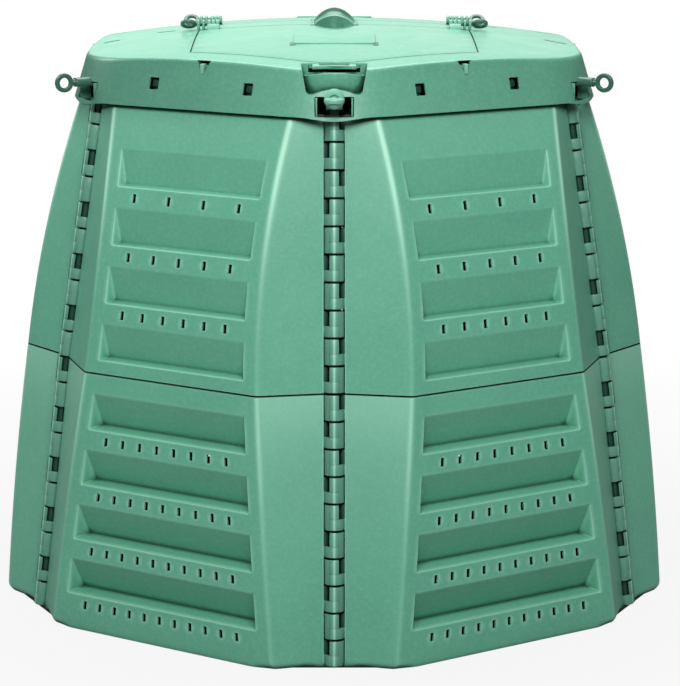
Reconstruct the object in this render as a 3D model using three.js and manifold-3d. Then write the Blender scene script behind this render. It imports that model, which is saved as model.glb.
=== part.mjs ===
// A six-sided garden compost bin with a domed lid.
// Millimetres, +Z up, the floor at z = 0, one hinge column of the bin facing -Y.
import * as THREE from "three";
import { mergeVertices } from "three/addons/utils/BufferGeometryUtils.js";
import Module from "manifold-3d";

const wasm = await Module();
wasm.setup();

// Plan of the bin
const sides = 6;
const sideTurn = (2 * Math.PI) / sides;
const cosHalf = Math.cos(sideTurn / 2);
const sinHalf = Math.sin(sideTurn / 2);

// Walls: two levels of panels, each panel a flat field between two swept-back wings
const levelHeight = 465;
const bodyTop = 2 * levelHeight;
const wall = 5;
const columnFootRadius = 624;
const lowerLean = 63;
const upperLean = 78;
const columnSeamRadius = columnFootRadius - lowerLean;
const columnTopRadius = columnSeamRadius - upperLean;
const fieldFootStand = 75.6;
const fieldSeamStand = 85.6;
const fieldTopStand = 40.7;
const fieldFootReach = columnFootRadius * cosHalf + fieldFootStand;
const fieldSeamReach = columnSeamRadius * cosHalf + fieldSeamStand;
const fieldTopReach = columnTopRadius * cosHalf + fieldTopStand;
const wingFootRun = 80;
const wingSeamRun = 102.5;
const wingTopRun = 59.5;
const fieldFootHalf = columnFootRadius * sinHalf - wingFootRun;
const fieldSeamHalf = columnSeamRadius * sinHalf - wingSeamRun;
const fieldTopHalf = columnTopRadius * sinHalf - wingTopRun;
const lowerReachBow = 4.5;
const upperReachBow = 14;
const upperHalfPinch = 11;
const seamGap = 0.4;

// Louvres: rows of sloping pockets with a drip ledge, and vent slots under each ledge
const rowPitch = 100;
const lowerLedgeHeight = 65;
const upperLedgeHeight = 24;
const pocketHeight = 65;
const pocketMargin = 26;
const facetRise = 3;
const ledgeRise = 3;
const slotDrop = 18;
const slotWidth = 4.5;
const slotHeight = 14.5;
const slotMargin = 38;
const lowerSlotCounts = [11, 10, 9, 8];
const upperSlotCounts = [0, 6, 5, 4];
const lowerPocketDepths = { foot: 38, top: 33 };
const upperPocketDepths = { foot: 31, top: 16 };

// Hinge columns: the panels' knuckles take turns round a rod
const knucklesPerLevel = 10;
const rodRadius = 8;
const rodFacets = 8;
const boreGap = 0.4;
const boreHalf = rodRadius + boreGap;
const knuckleWall = 8.1;
const knuckleRadius = boreHalf + knuckleWall;
const knuckleGap = 1.5;
const bandShare = 0.52;
const wingFront = 3;
const webInset = 1;
const webBite = 1;
const wingClearance = 1.5;
const rodEndGap = 1.5;

// Seam lap: a tongue on each lower panel stands behind the panel above
const lapHeight = 10;
const lapRoot = 14;
const lapWall = 3.5;
const lapBite = 2;
const lapClearance = 0.6;

// Corner windows and turn-lock pins, on the line of the upper rods
const pinRise = 30;
const pinHeight = bodyTop + pinRise;
const pinColumnRadius = columnTopRadius - (upperLean * pinRise) / levelHeight;
const pinFacets = 8;
const ringFacets = 10;
const pinTipRadius = 5.5;
const pinShoulder = 3.5;
const pinShankRadius = pinTipRadius + pinShoulder;
const pinRunGap = 0.4;
const pinTipBehind = 11;
const pinTipStart = pinColumnRadius - pinTipBehind;
const pinTipLength = 21;
const pinShankStart = pinTipStart + pinTipLength;
const pinTipRoot = 4;
const pinShankLength = 64;
const pinRingReach = pinShankStart + pinShankLength;
const pinRingInner = 9;
const pinRingWidth = 8;
const pinRingOuter = pinRingInner + pinRingWidth;
const pinRingThickness = 8;
const windowWidthHalf = 38;
const windowDrop = 29;
const windowFoot = pinHeight - windowDrop;
const windowRise = 4;
const windowTop = pinHeight + windowRise;

// Rod heads: a forked block on top of each upper rod takes the tip of a turn-lock pin
const headHalf = 14;
const headDepth = 15;
const headDrop = 23;
const headFoot = pinHeight - headDrop;
const headRise = 6;
const headTop = pinHeight + headRise;
const headSlotGap = 0.3;

// Finger recess in the front and rear corners of the lid
const recessClearance = 6;
const recessFoot = headTop + recessClearance;
const bellyRise = 18;
const bellyTop = recessFoot + bellyRise;
const bellyFacets = 12;
const bellyFootRadius = 29;
const bellySwell = 8;
const bellyRadius = bellyFootRadius + bellySwell;
const recessMargin = 11;
const recessFootHalf = bellyRadius + recessMargin;
const recessFlare = 15;
const recessTopHalf = recessFootHalf + recessFlare;

// Lid: a skirt under a shallow dome
const lidWall = 4;
const skirtOverlap = 3;
const skirtFootHeight = bodyTop - skirtOverlap;
const skirtCornerDip = 8;
const skirtStand = 55.7;
const skirtFootApothem = columnTopRadius * cosHalf + skirtStand;
const skirtCornerStand = 34;
const skirtFootCorner = columnTopRadius + skirtCornerStand;
const skirtLean = 26;
const shoulderRise = 14;
const shoulderHeight = bellyTop + shoulderRise;
const domeRise = 41;
const domeApex = shoulderHeight + domeRise;
const domeMidInset = 209;
const domeMidApothem = skirtFootApothem - domeMidInset;
const cornerSteps = 2;
const dipInset = 88.7;
const dipHalf = (skirtFootApothem * sinHalf) / cosHalf - dipInset;
const dipRamp = 40;

// Lid seat and snap tabs: two tabs of each upper panel reach up behind holes in the skirt
const seatGap = 0.3;
const padHalf = 60;
const padReach = 26;
const padWall = 5;
const tabOffset = 96;
const snapHoleHalf = 8;
const tabMargin = 3;
const tabHalf = snapHoleHalf + tabMargin;
const tabWall = 3.5;
const tabClearance = 1;
const snapHoleRise = 37;
const snapHoleHeight = bodyTop + snapHoleRise;
const snapHoleHalfHeight = 9;
const tabLap = 6;
const tabTop = snapHoleHeight + snapHoleHalfHeight + tabLap;

// Roof flaps, front and rear, hinged either side of a bridge
const flapInset = 79;
const flapApothem = skirtFootApothem - flapInset;
const flapCorner = flapApothem / cosHalf;
const flapHalf = 250;
const hingeOffset = 47;
const flapRearGap = 2;
const flapRearOffset = hingeOffset + flapRearGap;
const flapGap = 1.5;
const ledgeWidth = 12;
const ledgeBack = 10;
const ledgeWall = 4;
const ledgeGap = 0.4;
const hingeLift = 10;
const hingeFacets = 8;
const barrelRadius = 8;
const barrelInset = 14;
const barrelEnd = flapHalf - barrelInset;
const barrelLength = 22;
const barrelStart = barrelEnd - barrelLength;
const tabletGap = 5;
const tabletStart = barrelEnd + tabletGap;
const tabletLength = 14;
const tabletEnd = tabletStart + tabletLength;
const hingePinRadius = 4;
const hingePinGap = 0.8;
const hingeBoreRadius = hingePinRadius + hingePinGap;
const hingeRingGap = 1.5;
const hingeRingInner = 8;
const hingeRingWidth = 7;
const hingeRingOuter = hingeRingInner + hingeRingWidth;
const hingeRingThickness = 6;
const hingeRingTilt = (32 * Math.PI) / 180;
const plateHalf = 73;
const plateNear = 192;
const plateDepth = 101;
const plateFar = plateNear + plateDepth;
const plateLift = 3;
const lipHalf = 37;
const lipRun = 30.9;
const lipReach = flapCorner + lipRun;
const lipWall = 7;
const lipClearance = 1;
const recessGap = 4.9;
const recessBack = flapCorner + recessGap;
const cupGap = 0.3;

// Central grip: an arched web across an oval bowl in the bridge
const ovalSteps = 12;
const bowlHalfX = 38;
const bowlHalfY = 72;
const bowlDepth = 13;
const bowlWall = 3;
const bowlRim = 4;
const bowlRimWall = 2.5;
const gripRise = 27;
const gripWeb = 17;
const gripGap = 0.5;

// Two small drain slots in the roof, one near each side
const drainWidth = 6;
const leftDrainInset = 159;
const leftDrainForward = 16;
const leftDrainLength = 34;
const rightDrainInset = 171;
const rightDrainBack = 93;
const rightDrainLength = 20;

// How far cutters run past what they cut, and how near two points are merged
const overrun = 20;
const weldTolerance = 1e-3;

// Materials
const green = 0x4f9a7c;
const lidGreen = 0x62a98b;
const darkGreen = 0x2f6d57;
const plastic = (color) => new THREE.MeshStandardMaterial({ color, roughness: 0.55, metalness: 0 });

// Solids: a closed geometry becomes a manifold, and a manifold becomes a geometry again
function solid(geometry) {
  const bare = geometry.index ? geometry.toNonIndexed() : geometry.clone();
  bare.deleteAttribute("normal");
  bare.deleteAttribute("uv");
  const merged = mergeVertices(bare, weldTolerance);
  return new wasm.Manifold(
    new wasm.Mesh({
      numProp: 3,
      vertProperties: new Float32Array(merged.attributes.position.array),
      triVerts: new Uint32Array(merged.index.array),
    }),
  );
}

function geometryOf(manifold) {
  const mesh = manifold.getMesh();
  const geometry = new THREE.BufferGeometry();
  geometry.setAttribute("position", new THREE.BufferAttribute(mesh.vertProperties, 3));
  geometry.setIndex(new THREE.BufferAttribute(mesh.triVerts, 1));
  const flat = geometry.toNonIndexed();
  flat.computeVertexNormals();
  return flat;
}

function join(first, ...rest) {
  return rest.reduce((whole, piece) => whole.add(piece), first);
}

function cut(first, ...rest) {
  return rest.reduce((whole, piece) => whole.subtract(piece), first);
}

// A box given by its low and high corners
function boxBetween(low, high) {
  const geometry = new THREE.BoxGeometry(high[0] - low[0], high[1] - low[1], high[2] - low[2]);
  geometry.translate((low[0] + high[0]) / 2, (low[1] + high[1]) / 2, (low[2] + high[2]) / 2);
  return geometry;
}

// A plan outline standing between two heights
function prism(outline, foot, top) {
  const shape = new THREE.Shape(outline.map(([x, y]) => new THREE.Vector2(x, y)));
  const geometry = new THREE.ExtrudeGeometry(shape, { depth: top - foot, bevelEnabled: false });
  return geometry.translate(0, 0, foot);
}

// An outline of (reach, height) points, drawn across a panel or a corner from low to high u.
// Reach is measured outward, which is -Y of a piece that faces the viewer.
function profileBar(outline, low, high) {
  const shape = new THREE.Shape(outline.map(([reach, height]) => new THREE.Vector2(reach, height)));
  const geometry = new THREE.ExtrudeGeometry(shape, { depth: high - low, bevelEnabled: false });
  const place = new THREE.Matrix4().set(0, 0, -1, high, -1, 0, 0, 0, 0, 1, 0, 0, 0, 0, 0, 1);
  return geometry.applyMatrix4(place);
}

// A closed skin through equal rings of points, from the lowest ring to the highest
function loft(rings) {
  const count = rings[0].length;
  const points = rings.flat();
  const faces = [];
  const cap = THREE.ShapeUtils.triangulateShape(
    rings[0].map(([x, y]) => new THREE.Vector2(x, y)),
    [],
  );
  const last = (rings.length - 1) * count;
  for (const [a, b, c] of cap) {
    faces.push(c, b, a);
    faces.push(last + a, last + b, last + c);
  }
  for (let ring = 0; ring + 1 < rings.length; ring += 1) {
    for (let i = 0; i < count; i += 1) {
      const a = ring * count + i;
      const b = ring * count + ((i + 1) % count);
      faces.push(a, b, b + count);
      faces.push(a, b + count, a + count);
    }
  }
  const geometry = new THREE.BufferGeometry();
  geometry.setAttribute("position", new THREE.Float32BufferAttribute(points.flat(), 3));
  geometry.setIndex(faces);
  return geometry;
}

function mix(a, b, share) {
  return a + (b - a) * share;
}

// Levels: how far out the columns and fields stand at each height
const lower = {
  foot: 0,
  top: levelHeight - seamGap,
  columnFoot: columnFootRadius,
  columnTop: columnSeamRadius,
  ledge: lowerLedgeHeight,
  depths: lowerPocketDepths,
  slotCounts: lowerSlotCounts,
};
const upper = {
  foot: levelHeight,
  top: 2 * levelHeight,
  columnFoot: columnSeamRadius,
  columnTop: columnTopRadius,
  ledge: levelHeight + upperLedgeHeight,
  depths: upperPocketDepths,
  slotCounts: upperSlotCounts,
};

// A parabola that is 0 at both ends of a level and 1 half way
const bow = (share) => 4 * share * (1 - share);

function columnRadius(height) {
  const share = height / levelHeight;
  return share < 1
    ? mix(columnFootRadius, columnSeamRadius, share)
    : mix(columnSeamRadius, columnTopRadius, share - 1);
}

function fieldReach(height) {
  const share = height / levelHeight;
  if (share < 1) return mix(fieldFootReach, fieldSeamReach, share) + lowerReachBow * bow(share);
  return mix(fieldSeamReach, fieldTopReach, share - 1) + upperReachBow * bow(share - 1);
}

function fieldHalf(height) {
  const share = height / levelHeight;
  if (share < 1) return mix(fieldFootHalf, fieldSeamHalf, share);
  return mix(fieldSeamHalf, fieldTopHalf, share - 1) - upperHalfPinch * bow(share - 1);
}

// Ledge heights of a level, and the heights where the field changes slope
const ledgeHeights = (level) => level.slotCounts.map((_, row) => level.ledge + row * rowPitch);
const sectionHeights = (level) => [
  level.foot,
  ...ledgeHeights(level).map((ledge) => ledge + pocketHeight + facetRise),
  level.top,
];

// Field reach on the flat facet between two section heights
function facetReach(level, height) {
  const heights = sectionHeights(level);
  const above = Math.max(1, heights.findIndex((z) => z >= height));
  const low = heights[above - 1];
  const high = heights[above];
  return mix(fieldReach(low), fieldReach(high), (height - low) / (high - low));
}

// One horizontal slice through a panel: left edge, two creases and right edge, then back inside
function panelSlice(height) {
  const radius = columnRadius(height);
  const inset = knuckleRadius + wingClearance;
  const reach = fieldReach(height);
  const half = fieldHalf(height);
  const edge = (rise) => [
    radius * sinHalf - inset * cosHalf + rise * sinHalf,
    radius * cosHalf + inset * sinHalf + rise * cosHalf,
  ];
  const [edgeX, edgeReach] = edge(wingFront);
  const [edgeInnerX, edgeInnerReach] = edge(wingFront - wall);
  const lean = Math.atan2(reach - edgeReach, edgeX - half);
  const creaseInset = wall * Math.tan(lean / 2);
  return [
    [-edgeX, -edgeReach, height],
    [-half, -reach, height],
    [half, -reach, height],
    [edgeX, -edgeReach, height],
    [edgeInnerX, -edgeInnerReach, height],
    [half - creaseInset, -reach + wall, height],
    [-half + creaseInset, -reach + wall, height],
    [-edgeInnerX, -edgeInnerReach, height],
  ];
}

// Louvre pockets: a wedge of wall stands inside the field, and a smaller wedge is cut from it
function pocketPair(level, ledge, depth) {
  const half = fieldHalf(ledge) - pocketMargin;
  const top = ledge + pocketHeight;
  const outerFoot = facetReach(level, ledge);
  const outerTop = facetReach(level, top);
  const deep = outerFoot - depth;
  const slope = (outerTop - deep) / (pocketHeight - ledgeRise);
  const backing = [
    [outerFoot - wall / 2, ledge - wall],
    [outerTop - wall / 2, top + wall],
    [outerTop - wall, top + wall],
    [deep - wall, ledge + ledgeRise + wall / 2],
    [deep - wall, ledge - wall + ledgeRise],
  ];
  const hollow = [
    [outerFoot + overrun, ledge - (overrun * ledgeRise) / depth],
    [outerTop + slope * overrun, top + overrun],
    [deep, ledge + ledgeRise],
  ];
  return {
    backing: solid(profileBar(backing, -half - wall, half + wall)),
    hollow: solid(profileBar(hollow, -half, half)),
  };
}

function slotCutters(level, ledge, count) {
  const height = ledge - slotDrop;
  const reach = facetReach(level, height);
  const span = fieldHalf(ledge) - pocketMargin - slotMargin;
  return Array.from({ length: count }, (_, i) => {
    const x = mix(-span, span, i / (count - 1));
    const low = [x - slotWidth / 2, -reach - overrun, height - slotHeight / 2];
    const high = [x + slotWidth / 2, -reach + overrun, height + slotHeight / 2];
    return solid(boxBetween(low, high));
  });
}

// Column frame: x toward the viewer's right, -y outward, z up the leaning rod
function columnMatrix(level, turn) {
  const lean = Math.atan2(level.columnFoot - level.columnTop, levelHeight);
  const place = new THREE.Matrix4().makeRotationZ(turn);
  place.multiply(new THREE.Matrix4().makeTranslation(0, -level.columnFoot, level.foot));
  place.multiply(new THREE.Matrix4().makeRotationX(-lean));
  return place;
}

const rodLength = (level) => Math.hypot(levelHeight, level.columnFoot - level.columnTop);

// One knuckle: a hook that comes from the wing of its own panel, which lies toward `side`,
// and wraps the front and both flanks of the rod. Above it the rod lies bare in a window.
function knuckle(foot, top, side) {
  const root = knuckleRadius + wingClearance + webBite;
  const back = wall - wingFront;
  const front = knuckleRadius * cosHalf;
  const hook = [
    [root, -back + webInset],
    [root, wingFront - webInset],
    [knuckleRadius / 2, front],
    [-knuckleRadius / 2, front],
    [-knuckleRadius, -back],
    [-boreHalf, -back],
    [-boreHalf, boreHalf],
    [boreHalf, boreHalf],
  ];
  return solid(prism(hook.map(([across, out]) => [side * across, -out]), foot, top));
}

// A panel's knuckles: every second place on each of its two columns
function panelKnuckles(level) {
  const pitch = rodLength(level) / knucklesPerLevel;
  const pieces = [];
  for (let place = 0; place < knucklesPerLevel; place += 1) {
    const onRight = place % 2 === 0;
    const foot = place * pitch + knuckleGap / 2;
    const top = (place + bandShare) * pitch;
    const turn = onRight ? sideTurn / 2 : -sideTurn / 2;
    pieces.push({ geometry: knuckle(foot, top, onRight ? -1 : 1), matrix: columnMatrix(level, turn) });
  }
  return pieces.map(({ geometry, matrix }) => solid(geometryOf(geometry).applyMatrix4(matrix)));
}

function panelShell(level) {
  const shell = solid(loft(sectionHeights(level).map(panelSlice)));
  const ledges = ledgeHeights(level);
  const pockets = ledges.map((ledge, row) => {
    const depth = mix(level.depths.foot, level.depths.top, row / (ledges.length - 1));
    return pocketPair(level, ledge, depth);
  });
  const slots = ledges.flatMap((ledge, row) => {
    const count = level.slotCounts[row];
    return count > 0 ? slotCutters(level, ledge, count) : [];
  });
  const backed = join(shell, ...pockets.map((pocket) => pocket.backing));
  return cut(backed, ...pockets.map((pocket) => pocket.hollow), ...slots);
}

// Nothing of a knuckle reaches below the floor or past its own level
function trimToLevel(piece, level) {
  const reach = columnFootRadius + overrun;
  return piece.intersect(solid(boxBetween([-reach, -reach, level.foot], [reach, reach, level.top])));
}

function lapTongue() {
  const inner = (height) => fieldReach(height) - wall;
  const behind = (height) => inner(height) - lapClearance;
  const seam = levelHeight;
  const outline = [
    [inner(seam - lapRoot) + lapBite, seam - lapRoot],
    [inner(seam - lapBite * 2) + lapBite, seam - lapBite * 2],
    [behind(seam), seam - lapClearance],
    [behind(seam + lapHeight), seam + lapHeight],
    [behind(seam + lapHeight) - lapWall, seam + lapHeight],
    [inner(seam - lapRoot) - lapWall, seam - lapRoot],
  ];
  const half = fieldSeamHalf - upperHalfPinch - wall;
  return solid(profileBar(outline, -half, half));
}

function lowerPanel() {
  const trimmed = trimToLevel(join(panelShell(lower), ...panelKnuckles(lower)), lower);
  return trimmed.add(lapTongue());
}

// Skirt and dome, worked out from one rounded hexagon that shrinks as it rises
function roundedHexagon(inset) {
  const apothem = skirtFootApothem - inset;
  const corner = skirtFootCorner - inset;
  const radius = (apothem / cosHalf - corner) / (1 / cosHalf - 1);
  const centre = (apothem - radius) / cosHalf;
  const points = [];
  for (let side = 0; side < sides; side += 1) {
    const middle = side * sideTurn - Math.PI / 2;
    for (let step = 0; step <= cornerSteps; step += 1) {
      const angle = middle + sideTurn * (step / cornerSteps - 1 / 2);
      points.push([
        centre * Math.cos(middle) + radius * Math.cos(angle),
        centre * Math.sin(middle) + radius * Math.sin(angle),
      ]);
    }
  }
  return points;
}

const shoulderCorner = skirtFootCorner - skirtLean;
const skirtFoot = skirtFootHeight - skirtCornerDip;

function domeHeight(x, y) {
  const share = Math.hypot(x, y) / shoulderCorner;
  return domeApex - domeRise * share * share;
}

function skirtInset(height) {
  return (skirtLean * (height - skirtFoot)) / (shoulderHeight - skirtFoot);
}

// The lid's outer form moved inward by a depth, as a closed block
function lidBlock(depth, foot) {
  const footRing = roundedHexagon(depth + skirtInset(foot)).map(([x, y]) => [x, y, foot]);
  const onDome = ([x, y]) => [x, y, domeHeight(x, y) - depth];
  const shoulder = roundedHexagon(depth + skirtLean).map(onDome);
  const scale = domeMidApothem / (skirtFootApothem - skirtLean);
  const middle = shoulder.map(([x, y]) => onDome([x * scale, y * scale]));
  const crown = shoulder.map(([x, y]) => onDome([(x * scale) / 2, (y * scale) / 2]));
  return solid(loft([footRing, shoulder, middle, crown]));
}

// Plan of a roof flap, grown by a margin: straight rear edge, two sides, and a pointed front
function flapOutline(grow) {
  const half = flapHalf + grow;
  const rear = flapRearOffset - grow;
  const apothem = flapApothem + grow;
  return [
    [-half, -rear],
    [-half, -(apothem - half * sinHalf) / cosHalf],
    [0, -apothem / cosHalf],
    [half, -(apothem - half * sinHalf) / cosHalf],
    [half, -rear],
  ];
}

function turned(manifold, turn) {
  return solid(geometryOf(manifold).applyMatrix4(new THREE.Matrix4().makeRotationZ(turn)));
}

const roofHigh = domeApex + overrun;
const hingeHeight = domeHeight(barrelEnd, hingeOffset) + hingeLift;

function ovalOutline(halfX, halfY, steps) {
  return Array.from({ length: steps }, (_, i) => {
    const angle = (i * 2 * Math.PI) / steps;
    return [halfX * Math.cos(angle), halfY * Math.sin(angle)];
  });
}

// Round bar along X, seen from its end as a polygon
function barAlongX(radius, low, high, y, z, facets) {
  const geometry = new THREE.CylinderGeometry(radius, radius, high - low, facets);
  geometry.rotateZ(Math.PI / 2);
  return geometry.translate((low + high) / 2, y, z);
}

function barAlongY(radius, low, high, x, z, facets) {
  const geometry = new THREE.CylinderGeometry(radius, radius, high - low, facets);
  geometry.rotateY(Math.PI / facets);
  return geometry.translate(x, (low + high) / 2, z);
}


// Both ends of a hinge line, mirrored
const bothEnds = (make) => [make(1), make(-1)];
const span = (a, b) => [Math.min(a, b), Math.max(a, b)];

// Top of the lip, level with the front corner of the flap
const lipHeight = domeHeight(0, flapCorner);

function frontFlap() {
  const skin = lidBlock(0, skirtFoot).subtract(lidBlock(lidWall, skirtFoot - overrun));
  const outline = solid(prism(flapOutline(0), skirtFoot, roofHigh));
  const rimHalfX = bowlHalfX + bowlRim + flapGap;
  const rimHalfY = bowlHalfY + bowlRim + flapGap;
  const bowl = solid(prism(ovalOutline(rimHalfX, rimHalfY, ovalSteps), skirtFoot, roofHigh));
  const cornerNotches = bothEnds((end) => {
    const [low, high] = span(end * (barrelEnd + flapGap), end * (flapHalf + overrun));
    return solid(boxBetween([low, -flapRearOffset - barrelRadius, skirtFoot], [high, 0, roofHigh]));
  });
  const sheet = cut(skin.intersect(outline), bowl, ...cornerNotches);
  const barrels = bothEnds((end) => {
    const [low, high] = span(end * barrelStart, end * barrelEnd);
    const webReach = flapRearOffset + 2 * barrelRadius;
    const web = boxBetween(
      [low, -webReach, domeHeight(barrelEnd, webReach) - lidWall / 2],
      [high, -hingeOffset - hingeBoreRadius, hingeHeight + hingeBoreRadius],
    );
    const barrel = barAlongX(barrelRadius, low, high, -hingeOffset, hingeHeight, hingeFacets);
    return join(solid(barrel), solid(web));
  });
  const bores = bothEnds((end) => {
    const [low, high] = span(end * (barrelStart - overrun), end * (barrelEnd + overrun));
    return solid(barAlongX(hingeBoreRadius, low, high, -hingeOffset, hingeHeight, hingeFacets));
  });
  const plate = profileBar(
    [
      [plateNear, domeHeight(0, plateNear) - lidWall / 2],
      [plateFar, domeHeight(0, plateFar) - lidWall / 2],
      [plateFar, domeHeight(0, plateFar) + plateLift],
      [plateNear, domeHeight(0, plateNear) + plateLift],
    ],
    -plateHalf,
    plateHalf,
  );
  const lipRoot = flapCorner - lipHalf;
  const lip = profileBar(
    [
      [lipRoot, domeHeight(0, lipRoot) - lidWall / 2],
      [lipReach, lipHeight - lipWall],
      [lipReach, lipHeight],
      [lipRoot, domeHeight(0, lipRoot) - lidWall / 4],
    ],
    -lipHalf,
    lipHalf,
  );
  return cut(join(sheet, solid(plate), solid(lip), ...barrels), ...bores);
}

// Lid frame: skirt, rim, bridge and ledges, with the hinge tablets, windows and seats
function cornerCutters() {
  const reach = skirtFootCorner + overrun;
  const windowLow = [-windowWidthHalf, -reach, windowFoot];
  const window = solid(boxBetween(windowLow, [windowWidthHalf, -pinShankStart, windowTop]));
  const holeRadius = (pinShankRadius + pinRunGap) / Math.cos(Math.PI / pinFacets);
  const pinHole = solid(barAlongY(holeRadius, -reach, -pinShankStart, 0, pinHeight, pinFacets));
  return window.add(pinHole);
}

function sideCutters() {
  const back = skirtFootApothem - overrun;
  const front = skirtFootApothem + overrun;
  const rise = [
    [-dipHalf - dipRamp, skirtFoot - overrun],
    [dipHalf + dipRamp, skirtFoot - overrun],
    [dipHalf + dipRamp, skirtFoot],
    [dipHalf, skirtFootHeight],
    [-dipHalf, skirtFootHeight],
    [-dipHalf - dipRamp, skirtFoot],
  ];
  const holes = bothEnds((end) => {
    const middle = end * tabOffset;
    const low = [middle - snapHoleHalf, -front, snapHoleHeight - snapHoleHalfHeight];
    const high = [middle + snapHoleHalf, -back + overrun, snapHoleHeight + snapHoleHalfHeight];
    return solid(boxBetween(low, high));
  });
  return join(solid(cornerBlock(rise, back - overrun, front)), ...holes);
}

// Seat pad: stands on the top edge of an upper panel
function seatPad() {
  const outer = skirtFootApothem - skirtInset(bodyTop) - lidWall / 2;
  const foot = bodyTop + seatGap;
  return solid(boxBetween([-padHalf, -outer, foot], [padHalf, -outer + padReach, foot + padWall]));
}

// Finger recess under the lip of a flap, with a half-round belly inside it
function recessOutline(grow) {
  return [
    [-recessFootHalf - grow, recessFoot - grow],
    [recessFootHalf + grow, recessFoot - grow],
    [recessTopHalf + grow, roofHigh],
    [-recessTopHalf - grow, roofHigh],
  ];
}

function cornerBlock(outline, back, front) {
  const shape = new THREE.Shape(outline.map(([x, z]) => new THREE.Vector2(x, z)));
  const geometry = new THREE.ExtrudeGeometry(shape, { depth: front - back, bevelEnabled: false });
  return geometry.applyMatrix4(new THREE.Matrix4().set(1, 0, 0, 0, 0, 0, -1, -back, 0, 1, 0, 0, 0, 0, 0, 1));
}

function belly() {
  const foot = recessFoot - lidWall / 2;
  const geometry = new THREE.CylinderGeometry(bellyRadius, bellyFootRadius, bellyTop - foot, bellyFacets);
  geometry.rotateX(Math.PI / 2);
  geometry.translate(0, -recessBack + lidWall / 2, (bellyTop + foot) / 2);
  return geometry;
}

// The room of a finger cup in the lid, or with a gap the block that the cup is cut from
function cupForm(gap) {
  const outline = recessOutline(lidWall - gap);
  return solid(cornerBlock(outline, recessBack - lidWall + gap, skirtFootCorner + overrun));
}

function fingerCup() {
  const form = lidBlock(0, skirtFoot).intersect(cupForm(cupGap));
  const recess = solid(cornerBlock(recessOutline(0), recessBack, skirtFootCorner + overrun));
  const flapSweep = solid(prism(flapOutline(flapGap), shoulderHeight - 2 * lipWall, roofHigh));
  const lipRoom = solid(boxBetween(
    [-lipHalf - lipClearance, -skirtFootCorner, lipHeight - lipWall - lipClearance],
    [lipHalf + lipClearance, -flapCorner + lipClearance, roofHigh],
  ));
  const walls = form.subtract(recess);
  return cut(walls.add(form.intersect(solid(belly()))), flapSweep, lipRoom, cornerCutters());
}

function hingeTablet(end) {
  const [low, high] = span(end * tabletStart, end * tabletEnd);
  const foot = domeHeight(tabletEnd, hingeOffset) - lidWall - ledgeWall / 2;
  const near = -hingeOffset + barrelRadius;
  const plate = boxBetween([low, -hingeOffset - barrelRadius, foot], [high, near, hingeHeight]);
  const crest = barAlongX(barrelRadius, low, high, -hingeOffset, hingeHeight, hingeFacets);
  return join(solid(plate), solid(crest));
}

function tabletBore(end) {
  const [low, high] = span(end * (tabletStart - overrun / 4), end * (tabletEnd + overrun));
  return solid(barAlongX(hingeBoreRadius, low, high, -hingeOffset, hingeHeight, hingeFacets));
}

function lidFrame() {
  const outer = lidBlock(0, skirtFoot);
  const inner = lidBlock(lidWall, skirtFoot - overrun);
  const underLedge = lidBlock(lidWall + ledgeGap + ledgeWall, skirtFoot - overrun);
  const aboveLedge = lidBlock(lidWall + ledgeGap, skirtFoot - overrun);
  let frame = outer.subtract(inner);
  for (const turn of [0, Math.PI]) {
    const ledgePlan = solid(prism(flapOutline(ledgeBack), shoulderHeight - overrun, roofHigh));
    const ledge = outer.subtract(underLedge).intersect(ledgePlan);
    const lipPath = solid(boxBetween(
      [-lipHalf - lipClearance, -flapCorner - flapGap, skirtFoot],
      [lipHalf + lipClearance, -flapCorner + lipHalf, roofHigh],
    ));
    const barrelNotches = bothEnds((end) => {
      const [low, high] = span(end * (barrelStart - flapGap), end * (barrelEnd + flapGap));
      const near = -hingeOffset + barrelRadius + flapGap;
      return solid(boxBetween([low, -flapRearOffset - overrun, skirtFoot], [high, near, roofHigh]));
    });
    const flapRoom = solid(prism(flapOutline(flapGap), skirtFoot, roofHigh));
    const clear = join(flapRoom, lipPath, ...barrelNotches).subtract(aboveLedge);
    const aperture = solid(prism(flapOutline(-ledgeWidth), skirtFoot, roofHigh));
    frame = frame.add(turned(ledge, turn)).subtract(turned(clear.add(aperture), turn));
    frame = frame.subtract(turned(cupForm(0), turn));
    for (const end of [1, -1]) frame = frame.add(turned(hingeTablet(end), turn));
    for (const end of [1, -1]) frame = frame.subtract(turned(tabletBore(end), turn));
  }
  for (let side = 0; side < sides; side += 1) {
    const corner = side * sideTurn;
    const middle = corner + sideTurn / 2;
    frame = frame.add(turned(seatPad(), middle));
    frame = cut(frame, turned(cornerCutters(), corner), turned(sideCutters(), middle));
  }
  const bowlPlan = ovalOutline(bowlHalfX + gripGap, bowlHalfY + gripGap, ovalSteps);
  const drains = [
    [leftDrainInset - skirtFootApothem, -leftDrainForward, leftDrainLength],
    [skirtFootApothem - rightDrainInset, rightDrainBack, rightDrainLength],
  ].map(([x, y, length]) => {
    const low = [x - length / 2, y - drainWidth / 2, skirtFoot];
    return solid(boxBetween(low, [x + length / 2, y + drainWidth / 2, roofHigh]));
  });
  return cut(frame, solid(prism(bowlPlan, skirtFoot, roofHigh)), ...drains);
}

function snapTab(end) {
  const skirtInside = (height) => skirtFootApothem - skirtInset(height) - lidWall - tabClearance;
  const root = bodyTop - lapRoot;
  const outline = [
    [fieldReach(root) - wall / 2, root],
    [fieldReach(bodyTop) - wall / 2, bodyTop],
    [skirtInside(tabTop), tabTop],
    [skirtInside(tabTop) - tabWall, tabTop],
    [fieldReach(bodyTop) - wall - tabWall / 2, bodyTop],
    [fieldReach(root) - wall - tabWall / 2, root],
  ];
  return solid(profileBar(outline, end * tabOffset - tabHalf, end * tabOffset + tabHalf));
}

function upperPanel() {
  const trimmed = trimToLevel(join(panelShell(upper), ...panelKnuckles(upper)), upper);
  return join(trimmed, ...bothEnds(snapTab));
}

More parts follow.
